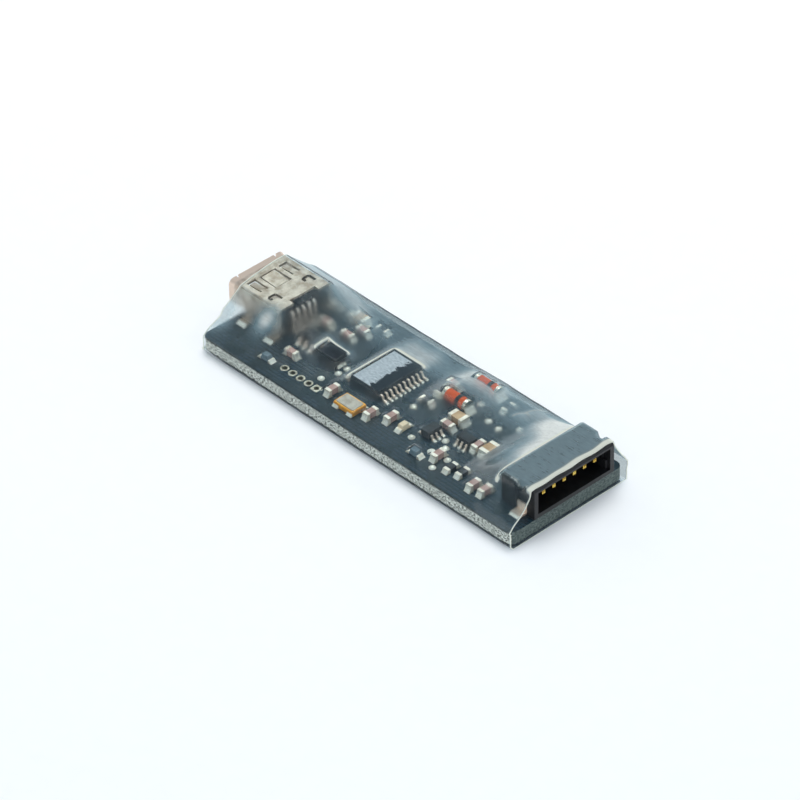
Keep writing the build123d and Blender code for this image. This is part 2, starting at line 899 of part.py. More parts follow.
with BuildPart() as diode_end_caps:
    with Locations(*diode_places):
        with Locations(*both_ends):
            add(end_cap)
    fillet(diode_end_caps.edges().filter_by(GeomType.CIRCLE), radius=cap_rim)

with BuildPart() as diode_slugs:
    with Locations(*diode_places):
        with Locations(*both_slugs):
            add(slug)

with BuildPart() as diode_chips:
    with Locations(*diode_places):
        add(die)

with BuildPart() as diode_cathode_bands:
    with Locations(*diode_places):
        with Locations((diode_band_x, 0, 0)):
            add(band)

# ---------------------------------------------------------------- indicator lamps

led_length = 1.6
led_width = 0.8
led_base_height = 0.3
led_lens_height = 0.42
led_lens_length = 1.0
led_end = 0.22
lens_margin = 0.02
lens_draft = 8
lens_edge = 0.08

led_chip_size = (0.3, 0.3, 0.15)
lens_floor = part_floor + led_base_height
led_bases = repeated(
    chip_body(led_length - 2 * led_end, led_width, led_base_height, 0), on_board(indicator_leds)
)

with BuildPart() as led_ends:
    with Locations((0, 0, led_base_height / 2)):
        Box(led_length, led_width, led_base_height)
        Box(led_length - 2 * led_end, led_width, led_base_height, mode=Mode.SUBTRACT)

with BuildPart() as lens:
    with BuildSketch():
        Rectangle(led_lens_length, led_width - 2 * lens_margin)
    extrude(amount=led_lens_height, taper=lens_draft)
    fillet(lens.faces().sort_by(Axis.Z)[-1].edges(), radius=lens_edge)
    Box(*led_chip_size, align=(Align.CENTER, Align.CENTER, Align.MIN), mode=Mode.SUBTRACT)

led_terminals = repeated(led_ends.part, on_board(indicator_leds))
led_lenses = repeated(lens.part, on_board(indicator_leds, lens_floor))

with BuildPart() as led_chips:
    with Locations(*on_board(indicator_leds, lens_floor)):
        Box(*led_chip_size, align=(Align.CENTER, Align.CENTER, Align.MIN))

# ---------------------------------------------------------------- lands and solder

fillet_reach = 0.32
toe_reach = 0.2
diode_reach = 0.6
diode_land_width = 1.3
bulk_reach = 0.2
land_margin = 0.1


def lead_lands(rows, lead_toe, lead_length, width, count, pitch):
    """Copper lands below two facing rows of gull-wing leads."""
    first = -pitch * (count - 1) / 2
    centre = lead_toe + toe_reach - lead_length / 2
    with BuildPart() as lands:
        for i in range(count):
            with Locations((centre, first + i * pitch, 0), (-centre, first + i * pitch, 0)):
                Box(lead_length, width, pad_thickness, align=(Align.CENTER, Align.CENTER, Align.MIN))
    with BuildPart() as placed:
        with Locations(*on_board(rows, board_top)):
            add(lands.part)
    return placed.part


def toe_solder(rows, lead_toe, height, width, count, pitch):
    """A small wedge at the toe of every gull-wing lead."""
    wedge = solder_fillet(toe_reach, height, width)
    first = -pitch * (count - 1) / 2
    with BuildPart() as wedges:
        for i in range(count):
            y = first + i * pitch
            with Locations((lead_toe, y, 0), Location((-lead_toe, y, 0), (0, 0, 180))):
                add(wedge)
    with BuildPart() as placed:
        with Locations(*on_board(rows)):
            add(wedges.part)
    return placed.part


def solder_dome(radius, height):
    """A round bead of solder on a test point: the cap of a larger ball."""
    ball_radius = (radius**2 + height**2) / (2 * height)
    with BuildPart() as dome:
        with Locations((0, 0, height - ball_radius)):
            Sphere(ball_radius)
        split(bisect_by=Plane.XY, keep=Keep.TOP)
    return dome.part


led_size = (led_length, led_width, led_base_height)
diode_size = (diode_length, diode_land_width, 2 * diode_radius)
# Each row: (places, part size, terminal length, solder reach, solder height)
two_ended = [
    (small_capacitors, small_chip, small_band, fillet_reach, 0.55),
    (large_capacitors, large_chip, large_band, fillet_reach, 0.65),
    (resistors, resistor_chip, small_band, fillet_reach, 0.4),
    (indicator_leds, led_size, led_end, fillet_reach, 0.28),
    (diodes, diode_size, diode_cap_length, diode_reach, 0.75),
    ([bulk_capacitor_place], bulk_size, bulk_foot_length, bulk_reach, 0.2),
]
usb_foot_y = usb_half + shell_foot_reach
usb_feet = [(x, connector_y + side * usb_foot_y, side * 90) for x in shell_leg_xs for side in (-1, 1)]
tab_foot_y = header_width / 2 + tab_foot_reach
tab_feet = [(tab_notch_x, connector_y + side * tab_foot_y, side * 90) for side in (-1, 1)]
header_toes = [
    (pin_toe_x, connector_y + (i - (header_pin_count - 1) / 2) * header_pin_pitch, 180)
    for i in range(header_pin_count)
]
contact_toes = [
    (contact_foot_x, connector_y + (i - (usb_pin_count - 1) / 2) * usb_pin_pitch, 0)
    for i in range(usb_pin_count)
]
# Each row: (feet, toe wedge reach, height, width, land length behind the toe)
single_feet = [
    (usb_feet, 0.45, 0.28, 1.3, 0.9),
    (tab_feet, 0.3, 0.18, 1.3, 0.9),
    (header_toes, 0.3, 0.22, 0.45, 1.0),
    (contact_toes, 0.2, 0.14, 0.36, 0.8),
]
crystal_pad_xs = (-4.45, -2.3)
crystal_pad_ys = (-6.2, -4.7)
crystal_pads = [(x, y, 0) for x in crystal_pad_xs for y in crystal_pad_ys]
crystal_land = (0.9, 1.1)
crystal_solder = [(x, crystal_place[1] - crystal_width / 2, -90) for x in crystal_pad_xs]
crystal_wedge_size = (0.25, 0.3, 0.8)


def foot_land(reach, width, behind):
    """One land that runs from behind a toe to the end of its solder, the toe at x = 0."""
    with BuildPart() as land:
        with Locations(((reach - behind) / 2, 0, 0)):
            Box(reach + behind, width, pad_thickness, align=(Align.CENTER, Align.CENTER, Align.MIN))
    return land.part


end_land_sets = [
    (end_pads(size[0] / 2, band, reach, size[1] + land_margin), on_board(places, board_top))
    for places, size, band, reach, height in two_ended
]
foot_land_sets = [
    (foot_land(reach, width, behind), on_board(feet, board_top))
    for feet, reach, height, width, behind in single_feet
]
lead_land_sets = [
    lead_lands(mcu_place, mcu_toe, *mcu_land, mcu_leads_a_side, mcu_pitch),
    lead_lands([esd_array_place], esd_toe, *esd_land, leads_a_side, esd_pitch),
    lead_lands(level_shifters, shifter_toe, *shifter_land, leads_a_side, shifter_pitch),
]
end_solder_sets = [
    (end_fillets(size[0] / 2, reach, height, size[1]), on_board(places))
    for places, size, band, reach, height in two_ended
]
foot_solder_sets = [
    (solder_fillet(reach, height, width), on_board(feet))
    for feet, reach, height, width, behind in single_feet
]
toe_solder_sets = [
    toe_solder(mcu_place, mcu_toe, *mcu_toe_bead, mcu_leads_a_side, mcu_pitch),
    toe_solder([esd_array_place], esd_toe, *esd_toe_bead, leads_a_side, esd_pitch),
    toe_solder(level_shifters, shifter_toe, *shifter_toe_bead, leads_a_side, shifter_pitch),
]
crystal_wedge = solder_fillet(*crystal_wedge_size)
bead_radius = 0.4
bead_height = 0.22
bead_rim = 0.02

with BuildPart() as surface_pads:
    for shape, locations in end_land_sets + foot_land_sets:
        with Locations(*locations):
            add(shape)
    add(lead_land_sets)
    with Locations(*on_board(crystal_pads, board_top)):
        Box(*crystal_land, pad_thickness, align=(Align.CENTER, Align.CENTER, Align.MIN))
    with Locations(*[(x, y, board_top) for x, y in test_points]):
        Cylinder(bead_radius + bead_rim, pad_thickness, align=(Align.CENTER, Align.CENTER, Align.MIN))

with BuildPart() as solder_joints:
    for shape, locations in end_solder_sets + foot_solder_sets:
        with Locations(*locations):
            add(shape)
    add(toe_solder_sets)
    with Locations(*on_board(crystal_solder)):
        add(crystal_wedge)

test_point_solder = repeated(
    solder_dome(bead_radius, bead_height), [Location((x, y, part_floor)) for x, y in test_points]
)

# ---------------------------------------------------------------- heat-shrink sleeve

side_gap = 0.03
inner_side = board_width / 2 + side_gap
ridge_gap = 0.1
# How far a ridge moves out with the wall, as a share of the wall
ridge_share = 0.6
usb_cover = usb_top + side_gap
header_cover = board_top + header_height + side_gap
usb_near = connector_y - usb_half
usb_far = connector_y + usb_half + ridge_gap
header_near = connector_y - header_width / 2 - side_gap
header_far = connector_y + header_width / 2 + ridge_gap
# Stations along the sleeve: (x, height inside the ridge, near ridge y, far ridge y)
stations = [
    (-24.35, usb_cover, usb_near, usb_far),
    (-17.2, usb_cover, usb_near, usb_far),
    (-13.4, 4.1, -3.6, 5.6),
    (-7.5, 3.3, -6.4, 6.6),
    (1.5, 3.5, -6.5, 7.2),
    (8.0, 3.55, -6.7, 7.75),
    (14.8, 3.5, -6.6, 7.5),
    (18.9, header_cover, header_near, header_far),
    (24.2, header_cover, header_near, header_far),
]
near_edge = board_top + 0.06
far_edge = board_top + 0.75
far_bulge = 0.25


def sleeve_section(x, top, near, far, wall):
    """One closed outline of the sleeve across X, grown outwards by the wall."""
    corner = ridge_share * wall
    with BuildSketch(Plane.YZ.offset(x)) as outline:
        with BuildLine():
            Polyline(
                (-inner_side - wall, sleeve_wall - 2 * wall),
                (inner_side + wall, sleeve_wall - 2 * wall),
                (inner_side + far_bulge + wall, far_edge + corner),
                (far + corner, top + wall),
                (near - corner, top + wall),
                (-inner_side - wall, near_edge + corner),
                close=True,
            )
        make_face()
    return outline.sketch


outer_sections = [sleeve_section(*station, sleeve_wall) for station in stations]
inner_sections = [sleeve_section(*station, 0) for station in stations]

with BuildPart() as heat_shrink_sleeve:
    loft(outer_sections, ruled=True)
    loft(inner_sections, ruled=True, mode=Mode.SUBTRACT)
    split(bisect_by=Plane.XY, keep=Keep.TOP)

# ---------------------------------------------------------------- labels and files

nodes = {
    "circuit_board": circuit_board,
    "debug_pads": debug_pads,
    "surface_pads": surface_pads,
    "solder_joints": solder_joints,
    "test_point_solder": test_point_solder,
    "usb_shell": usb_shell,
    "usb_ground_tongue": usb_ground_tongue,
    "usb_latch_spring_near": usb_latch_spring_near,
    "usb_latch_spring_far": usb_latch_spring_far,
    "usb_insulator": usb_insulator,
    "usb_contacts": usb_contacts,
    "header_housing": header_housing,
    "header_pins": header_pins,
    "header_solder_tabs": header_solder_tabs,
    "microcontroller_body": microcontroller_body,
    "microcontroller_leads": microcontroller_leads,
    "esd_array_body": esd_array_body,
    "esd_array_leads": esd_array_leads,
    "level_shifter_bodies": level_shifter_bodies,
    "level_shifter_leads": level_shifter_leads,
    "crystal_base": crystal_base,
    "crystal_seal_ring": crystal_seal_ring,
    "crystal_lid": crystal_lid,
    "crystal_blank": crystal_blank,
    "bulk_capacitor_body": bulk_capacitor_body,
    "bulk_capacitor_terminals": bulk_capacitor_terminals,
    "small_capacitor_bodies": small_capacitor_bodies,
    "small_capacitor_terminals": small_capacitor_terminals,
    "large_capacitor_bodies": large_capacitor_bodies,
    "large_capacitor_terminals": large_capacitor_terminals,
    "resistor_bodies": resistor_bodies,
    "resistor_terminals": resistor_terminals,
    "diode_glass": diode_glass,
    "diode_end_caps": diode_end_caps,
    "diode_slugs": diode_slugs,
    "diode_chips": diode_chips,
    "diode_cathode_bands": diode_cathode_bands,
    "led_bases": led_bases,
    "led_terminals": led_terminals,
    "led_chips": led_chips,
    "led_lenses": led_lenses,
    "heat_shrink_sleeve": heat_shrink_sleeve,
}

os.makedirs("parts", exist_ok=True)
for name, node in nodes.items():
    node.part.label = name
    export_step(node.part, f"parts/{name}.step")
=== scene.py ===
import json
import math

import bpy
import numpy as np
from mathutils import Matrix, Vector
from mathutils.bvhtree import BVHTree


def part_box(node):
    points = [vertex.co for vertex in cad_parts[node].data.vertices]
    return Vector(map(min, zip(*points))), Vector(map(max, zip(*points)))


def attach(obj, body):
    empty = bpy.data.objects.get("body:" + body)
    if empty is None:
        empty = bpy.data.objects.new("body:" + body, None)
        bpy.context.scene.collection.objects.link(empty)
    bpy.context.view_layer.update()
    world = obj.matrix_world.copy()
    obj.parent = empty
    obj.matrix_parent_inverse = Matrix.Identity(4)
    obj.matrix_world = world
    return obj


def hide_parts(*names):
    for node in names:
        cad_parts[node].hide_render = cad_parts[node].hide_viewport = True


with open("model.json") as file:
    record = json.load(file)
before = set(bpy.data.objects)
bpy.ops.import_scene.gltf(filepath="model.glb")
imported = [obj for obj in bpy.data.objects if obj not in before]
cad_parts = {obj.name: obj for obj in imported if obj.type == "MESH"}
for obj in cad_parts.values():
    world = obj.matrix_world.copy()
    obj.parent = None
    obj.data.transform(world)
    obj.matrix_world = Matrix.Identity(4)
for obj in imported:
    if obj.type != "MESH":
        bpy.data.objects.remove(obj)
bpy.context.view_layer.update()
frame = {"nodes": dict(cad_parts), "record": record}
NODES = frame["nodes"]
BOARD = "board_assembly"
MM = 0.001


def box_mm(node):
    """A CAD node's lowest and highest corners in millimetres."""
    low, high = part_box(node)
    return np.array(low) / MM, np.array(high) / MM


BOARD_LOW, BOARD_HIGH = box_mm("circuit_board")
BOARD_TOP = BOARD_HIGH[2]
USB_LOW, USB_HIGH = box_mm("usb_shell")
HOUSING_LOW, HOUSING_HIGH = box_mm("header_housing")

# ---------------------------------------------------------------- material building blocks


class Shader:
    """A material's node tree, built by calls that read like the sums they do."""

    def __init__(self, name):
        self.material = bpy.data.materials.new(name)
        self.material.use_nodes = True
        self.tree = self.material.node_tree
        self.tree.nodes.clear()
        self.out = self.tree.nodes.new("ShaderNodeOutputMaterial")
        texture = self.tree.nodes.new("ShaderNodeTexCoord")
        self.place = self.multiply(texture.outputs["Object"], (1 / MM, 1 / MM, 1 / MM))

    def put(self, socket, value):
        if isinstance(value, bpy.types.NodeSocket):
            self.tree.links.new(value, socket)
        elif value is not None:
            if socket.type == "RGBA" and len(value) == 3:
                value = (*value, 1.0)
            socket.default_value = value

    def node(self, kind, settings=None, **inputs):
        made = self.tree.nodes.new(kind)
        for key, value in (settings or {}).items():
            setattr(made, key, value)
        for key, value in inputs.items():
            self.put(made.inputs[key.replace("_", " ")], value)
        return made

    def maths(self, operation, a, b=None):
        made = self.node("ShaderNodeMath", {"operation": operation})
        self.put(made.inputs[0], a)
        self.put(made.inputs[1], b)
        return made.outputs[0]

    def multiply(self, vector, factors):
        made = self.node("ShaderNodeVectorMath", {"operation": "MULTIPLY"})
        self.put(made.inputs[0], vector)
        self.put(made.inputs[1], factors)
        return made.outputs["Vector"]

    def stretched(self, x, y, z):
        """The place in millimetres, scaled along each axis."""
        return self.multiply(self.place, (x, y, z))

    def noise(self, scale, detail=3.0, roughness=0.55, where=None):
        made = self.node(
            "ShaderNodeTexNoise",
            Vector=self.place if where is None else where,
            Scale=scale,
            Detail=detail,
            Roughness=roughness,
        )
        return made.outputs["Fac"]

    def ramp(self, factor, *stops):
        """A blend through (position, colour) stops."""
        made = self.node("ShaderNodeValToRGB", Fac=factor)
        fill_ramp(made.color_ramp.elements, stops)
        return made.outputs["Color"]

    def range(self, value, low, high, to_low=0.0, to_high=1.0):
        """A smooth step of the value, from to_low at low to to_high at high."""
        made = self.node(
            "ShaderNodeMapRange",
            {"interpolation_type": "SMOOTHSTEP"},
            Value=value,
            From_Min=low,
            From_Max=high,
            To_Min=to_low,
            To_Max=to_high,
        )
        return made.outputs[0]

    def mix(self, factor, a, b):
        made = self.node("ShaderNodeMix", {"data_type": "RGBA"})
        self.put(made.inputs[0], factor)
        self.put(made.inputs[6], a)
        self.put(made.inputs[7], b)
        return made.outputs[2]

    def axis(self, vector, index):
        split = self.node("ShaderNodeSeparateXYZ", Vector=vector)
        return split.outputs[index]

    def normal_axis(self, index):
        geometry = self.node("ShaderNodeNewGeometry")
        return self.axis(geometry.outputs["Normal"], index)

    def painted(self, name):
        """A map kept in the mesh."""
        return self.node("ShaderNodeAttribute", {"attribute_name": name}).outputs["Fac"]

    def bump(self, height, distance_mm, strength=1.0):
        made = self.node("ShaderNodeBump", Height=height, Distance=distance_mm * MM, Strength=strength)
        return made.outputs[0]

    def principled(self, **inputs):
        return self.node("ShaderNodeBsdfPrincipled", **inputs).outputs[0]

    def surface(self, kind, settings=None, **inputs):
        """A plain surface, such as Diffuse or Glossy."""
        return self.node(f"ShaderNodeBsdf{kind}", settings, **inputs).outputs[0]

    def blend(self, factor, a, b):
        made = self.node("ShaderNodeMixShader")
        self.put(made.inputs[0], factor)
        self.put(made.inputs[1], a)
        self.put(made.inputs[2], b)
        return made.outputs[0]

    def done(self, surface):
        self.put(self.out.inputs["Surface"], surface)
        return self.material


def fill_ramp(bar, stops):
    """Set a colour ramp's stops, each a (position, colour) pair."""
    while len(bar) < len(stops):
        bar.new(0.5)
    for element, (position, colour) in zip(bar, stops):
        element.position = position
        element.color = (*colour, 1.0)


def rgb(code):
    """A hex colour as linear light, by the sRGB curve."""
    parts = [int(code[i : i + 2], 16) / 255 for i in (0, 2, 4)]
    return tuple(c / 12.92 if c <= 0.04045 else ((c + 0.055) / 1.055) ** 2.4 for c in parts)


# ---------------------------------------------------------------- materials

LIP = 0.55  # length of the shell's mouth that is worn by plugs, mm
LIP_FADE = 0.3
METAL_PITS = 0.02  # relief of pits and fine grain, mm
PLASTIC_GRAIN = 0.02
RESIN_STREAKS = 0.01
RAGGED_EDGE = 0.7  # how far the mask's broken rim wanders down the board's edge, mm
RIM = (0.2, 0.13)  # the dark rim fades in between these depths below the board's top, mm
LOWER_RIM = (0.1, 0.05)  # and between these heights above its bottom
SCUFF_SHARE = 0.62  # part of the package's length that is scuffed
SCUFF_WANDER = 2.6  # how far the scuff's border wanders, mm
SCUFF_FADE = 0.12
SCUFF_MARGINS = {"start": (0.16, 0.26), "far": (0.14, 0.26), "near": (0.12, 0.22)}  # clear of the edges, mm
CREAM_LAMP = (0.70, 0.89)  # where the cream lamp lies along the row of lamps, as shares of its length
CREAM_FADE = 0.01


def board_material():
    """Dark solder mask over faint copper on the faces, speckled laminate on the edges."""
    s = Shader("board")
    grain = s.noise(6.0, 4.0)
    blotch = s.noise(0.35, 2.0)
    bricks = s.node(
        "ShaderNodeTexBrick",
        {"offset": 0.37},
        Vector=s.place,
        Color1=(1, 1, 1),
        Color2=(0.55, 0.55, 0.55),
        Mortar=(0, 0, 0),
        Scale=0.55,
        Mortar_Size=0.06,
        Mortar_Smooth=0.4,
        Bias=-0.2,
    )
    copper = s.maths("MULTIPLY", s.axis(bricks.outputs["Color"], 0), s.range(blotch, 0.42, 0.55))
    mask = s.mix(s.range(grain, 0.3, 0.75), rgb("081C23"), rgb("0F2B34"))
    mask = s.mix(s.maths("MULTIPLY", copper, 0.5), mask, rgb("33495A"))

    # The long edges: pale glass cloth with bright fibres, dark pits and a ragged dark rim
    layers = s.noise(1.0, 4.0, 0.7, where=s.stretched(1.1, 1.1, 4.0))
    specks = s.noise(1.0, 2.0, 0.75, where=s.stretched(3.4, 3.4, 6.0))
    edge = s.ramp(layers, (0.35, rgb("ACA896")), (0.5, rgb("D6D0BE")), (0.65, rgb("F0E9DA")))
    edge = s.mix(s.range(specks, 0.52, 0.56), edge, rgb("FFFCF0"))
    edge = s.mix(s.range(specks, 0.475, 0.435), edge, rgb("161A18"))
    height = s.axis(s.place, 2)
    wander = s.maths("MULTIPLY", s.maths("SUBTRACT", specks, 0.5), RAGGED_EDGE)
    chipped = s.maths("ADD", height, wander)
    top_rim = s.range(chipped, BOARD_TOP - RIM[0], BOARD_TOP - RIM[1])
    bottom_rim = s.range(height, BOARD_LOW[2] + LOWER_RIM[0], BOARD_LOW[2] + LOWER_RIM[1])
    edge = s.mix(s.maths("MAXIMUM", top_rim, bottom_rim), edge, rgb("0E1416"))

    # The short ends are coloured darker and greener
    end_colour = s.mix(s.range(specks, 0.35, 0.65), rgb("333F3E"), rgb("64726E"))
    endways = s.maths("ABSOLUTE", s.normal_axis(0))
    edge = s.mix(s.range(endways, 0.6, 0.8), edge, end_colour)

    upright = s.maths("ABSOLUTE", s.normal_axis(2))
    face = s.range(upright, 0.5, 0.6)
    colour = s.mix(face, edge, mask)
    weave = s.maths("MULTIPLY", layers, s.maths("SUBTRACT", 1.0, face))
    normal = s.bump(s.maths("ADD", weave, copper), 0.04)
    rough = s.maths("ADD", s.maths("MULTIPLY", face, -0.4), s.range(grain, 0.2, 0.8, 0.65, 0.8))
    return s.done(s.principled(Base_Color=colour, Roughness=rough, Normal=normal))


def metal_material(name, light, dark, roughness=0.3, grain=5.0, metallic=1.0, worn_lip=None):
    """Plated or tinned metal: cloudy tone, fine pits and uneven polish."""
    s = Shader(name)
    cloud = s.noise(grain * 0.4, 3.0)
    pits = s.noise(grain * 4.0, 4.0, 0.7)
    colour = s.mix(s.range(cloud, 0.3, 0.7), dark, light)
    if worn_lip:
        x = s.axis(s.place, 0)
        lip = USB_LOW[0] + LIP
        colour = s.mix(s.range(x, lip + LIP_FADE, lip), colour, worn_lip)
    rough = s.range(pits, 0.25, 0.8, roughness * 0.7, roughness * 1.5)
    normal = s.bump(s.maths("ADD", pits, cloud), METAL_PITS)
    return s.done(
        s.principled(Base_Color=colour, Metallic=metallic, Roughness=rough, Normal=normal)
    )


def plastic_material(name, light, dark, roughness=0.5, grain=8.0):
    """Moulded plastic or ceramic: fine spark-eroded grain and slight tone changes."""
    s = Shader(name)
    fine = s.noise(grain, 5.0, 0.7)
    broad = s.noise(grain * 0.12, 2.0)
    tone = s.maths("ADD", s.maths("MULTIPLY", fine, 0.5), broad)
    colour = s.mix(s.range(tone, 0.5, 1.0), dark, light)
    rough = s.range(fine, 0.2, 0.8, roughness * 0.85, roughness * 1.2)
    normal = s.bump(fine, PLASTIC_GRAIN)
    return s.done(s.principled(Base_Color=colour, Roughness=rough, Normal=normal))


def chip_top_material():
    """Dark epoxy with a pale, ragged scuffed patch over the USB side of the top face."""
    s = Shader("scuffed_epoxy")
    low, high = box_mm("microcontroller_body")
    fine = s.noise(1.0, 5.0, 0.8, where=s.stretched(1.8, 6.0, 1.0))
    smear = s.noise(1.1, 5.0, 0.75, where=s.stretched(0.9, 1.5, 1.0))
    x = s.axis(s.place, 0)
    y = s.axis(s.place, 1)
    ragged = s.maths("ADD", x, s.maths("MULTIPLY", s.maths("SUBTRACT", smear, 0.5), SCUFF_WANDER))
    border = low[0] + SCUFF_SHARE * (high[0] - low[0])
    start, far, near = (SCUFF_MARGINS[side] for side in ("start", "far", "near"))
    inside = s.range(ragged, border + SCUFF_FADE, border - SCUFF_FADE)
    inside = s.maths("MULTIPLY", inside, s.range(x, low[0] + start[0], low[0] + start[1]))
    inside = s.maths("MULTIPLY", inside, s.range(y, high[1] - far[0], high[1] - far[1]))
    inside = s.maths("MULTIPLY", inside, s.range(y, low[1] + near[0], low[1] + near[1]))
    on_top = s.range(s.normal_axis(2), 0.8, 0.95)
    worn = s.maths("MULTIPLY", s.maths("MULTIPLY", inside, on_top), s.range(fine, 0.3, 0.42, 0.55, 1.0))
    dark = s.mix(fine, rgb("1C2429"), rgb("38444C"))
    pale = s.mix(s.range(fine, 0.36, 0.64), rgb("A6AEB3"), rgb("E2E5E6"))
    normal = s.bump(s.maths("ADD", fine, worn), 0.03)
    return s.done(s.principled(Base_Color=s.mix(worn, dark, pale), Roughness=0.55, Normal=normal))


def glass_material(name, colour, roughness=0.05, haze=0.15):
    """Coloured glass or quartz with a faint inner haze and fine drawn streaks."""
    s = Shader(name)
    streak = s.noise(3.0, 3.0, where=s.stretched(0.4, 3.0, 3.0))
    tone = s.mix(s.range(streak, 0.3, 0.7), tuple(0.8 * c for c in colour), colour)
    clear = s.principled(
        Base_Color=tone,
        Transmission_Weight=1.0,
        Roughness=roughness,
        IOR=1.5,
        Normal=s.bump(streak, RESIN_STREAKS),
    )
    return s.done(s.blend(haze, clear, s.surface("Diffuse", Color=tone)))


def lamp_material(name, roughness):
    """An indicator lamp's resin: cream on the middle one, smoky on the two by the near edge."""
    s = Shader(name)
    low, high = box_mm("led_bases")
    x = s.axis(s.place, 0)
    span = high[0] - low[0]
    first, last = (low[0] + share * span for share in CREAM_LAMP)
    fade = CREAM_FADE * span
    cream = s.maths("MULTIPLY", s.range(x, first, first + fade), s.range(x, last, last - fade))
    fine = s.noise(3.0, 3.0)
    warm = s.mix(fine, rgb("F2CFA0"), rgb("FFF0D4"))
    smoky = s.mix(fine, rgb("50616B"), rgb("84959D"))
    colour = s.mix(cream, smoky, warm)
    return s.done(s.principled(Base_Color=colour, Roughness=roughness, Normal=s.bump(fine, RESIN_STREAKS)))


MATERIALS = {
    "board_laminate": board_material(),
    "tinned_copper": metal_material("tinned_copper", rgb("D8D2C2"), rgb("A79F8E"), 0.4),
    "solder": metal_material("solder", rgb("FFFBEE"), rgb("EFE6D4"), 0.32, 3.0, 0.4),
    "nickel_steel": metal_material(
        "nickel_steel", rgb("DDCFC0"), rgb("AC9A88"), 0.42, 2.5, 0.72, worn_lip=rgb("E8D4C2")
    ),
    "black_nylon": plastic_material("black_nylon", rgb("1A1B1E"), rgb("0B0B0D"), 0.45, 9.0),
    "gold_contact": metal_material("gold_contact", rgb("FAEADC"), rgb("DCC8B8"), 0.35, 3.0, 0.45),
    "gold_pin": metal_material("gold_pin", rgb("F6D873"), rgb("C79A3A"), 0.22),
    "tinned_lead": metal_material("tinned_lead", rgb("FFEBDA"), rgb("EBD3BE"), 0.32, 5.0, 0.5),
    "mould_compound": plastic_material("mould_compound", rgb("2C3136"), rgb("15181B"), 0.6, 10.0),
    "bulk_case": plastic_material("bulk_case", rgb("343A40"), rgb("1B2024"), 0.5, 9.0),
    "crystal_ceramic": plastic_material("crystal_ceramic", rgb("F4AC40"), rgb("D08A2A"), 0.4),
    "gold_ring": metal_material("gold_ring", rgb("FFC45A"), rgb("F0A438"), 0.35, 5.0, 0.5),
    "crystal_cover": metal_material("crystal_cover", rgb("C6BDB2"), rgb("A59C90"), 0.45, 2.0, 0.6),
    "quartz": glass_material("quartz", rgb("E8EEF2")),
    "small_ceramic": plastic_material("small_ceramic", rgb("CBA79C"), rgb("AC857A"), 0.45),
    "large_ceramic": plastic_material("large_ceramic", rgb("D3AE84"), rgb("B08A62"), 0.45),
    "resistor_ceramic": plastic_material("resistor_ceramic", rgb("2A2C30"), rgb("141517"), 0.3),
    "chip_terminal": metal_material("chip_terminal", rgb("FFF7E8"), rgb("EADCC8"), 0.35, 5.0, 0.35),
    "diode_glass": glass_material("diode_glass", rgb("FF7040"), 0.08, 0.8),
    "diode_cap": metal_material("diode_cap", rgb("FFF7E8"), rgb("EADCC8"), 0.25),
    "diode_slug": metal_material("diode_slug", rgb("FF6A44"), rgb("D84A28"), 0.35, 5.0, 0.4),
    "silicon": plastic_material("silicon", rgb("4A4C52"), rgb("2A2B2F"), 0.2),
    "band_paint": plastic_material("band_paint", rgb("1A1718"), rgb("0C0A0B"), 0.4),
    "led_laminate": lamp_material("led_laminate", 0.5),
    "led_lens": lamp_material("led_lens", 0.15),
}


def paint_nodes():
    """Give every CAD node its procedural material, by the record's slot names."""
    slot_of = {p["node"]: p["material_slot"] for p in frame["record"]["subparts"]}
    scuffed = chip_top_material()
    for name, node in NODES.items():
        if slot_of[name] not in MATERIALS:
            continue
        material = scuffed if name == "microcontroller_body" else MATERIALS[slot_of[name]]
        if not node.data.materials:
            node.data.materials.append(None)
        for slot in node.material_slots:
            slot.material = material


# ---------------------------------------------------------------- the film's two sides

FILM_MAPS = ("haze", "pale", "shade", "touch", "blur")
FILM_IOR = 1.45
OUTER_ROUGHNESS = 0.1
PALE_STRENGTH = 0.95
GLOW = 0.4  # share of the haze's light that comes through from behind


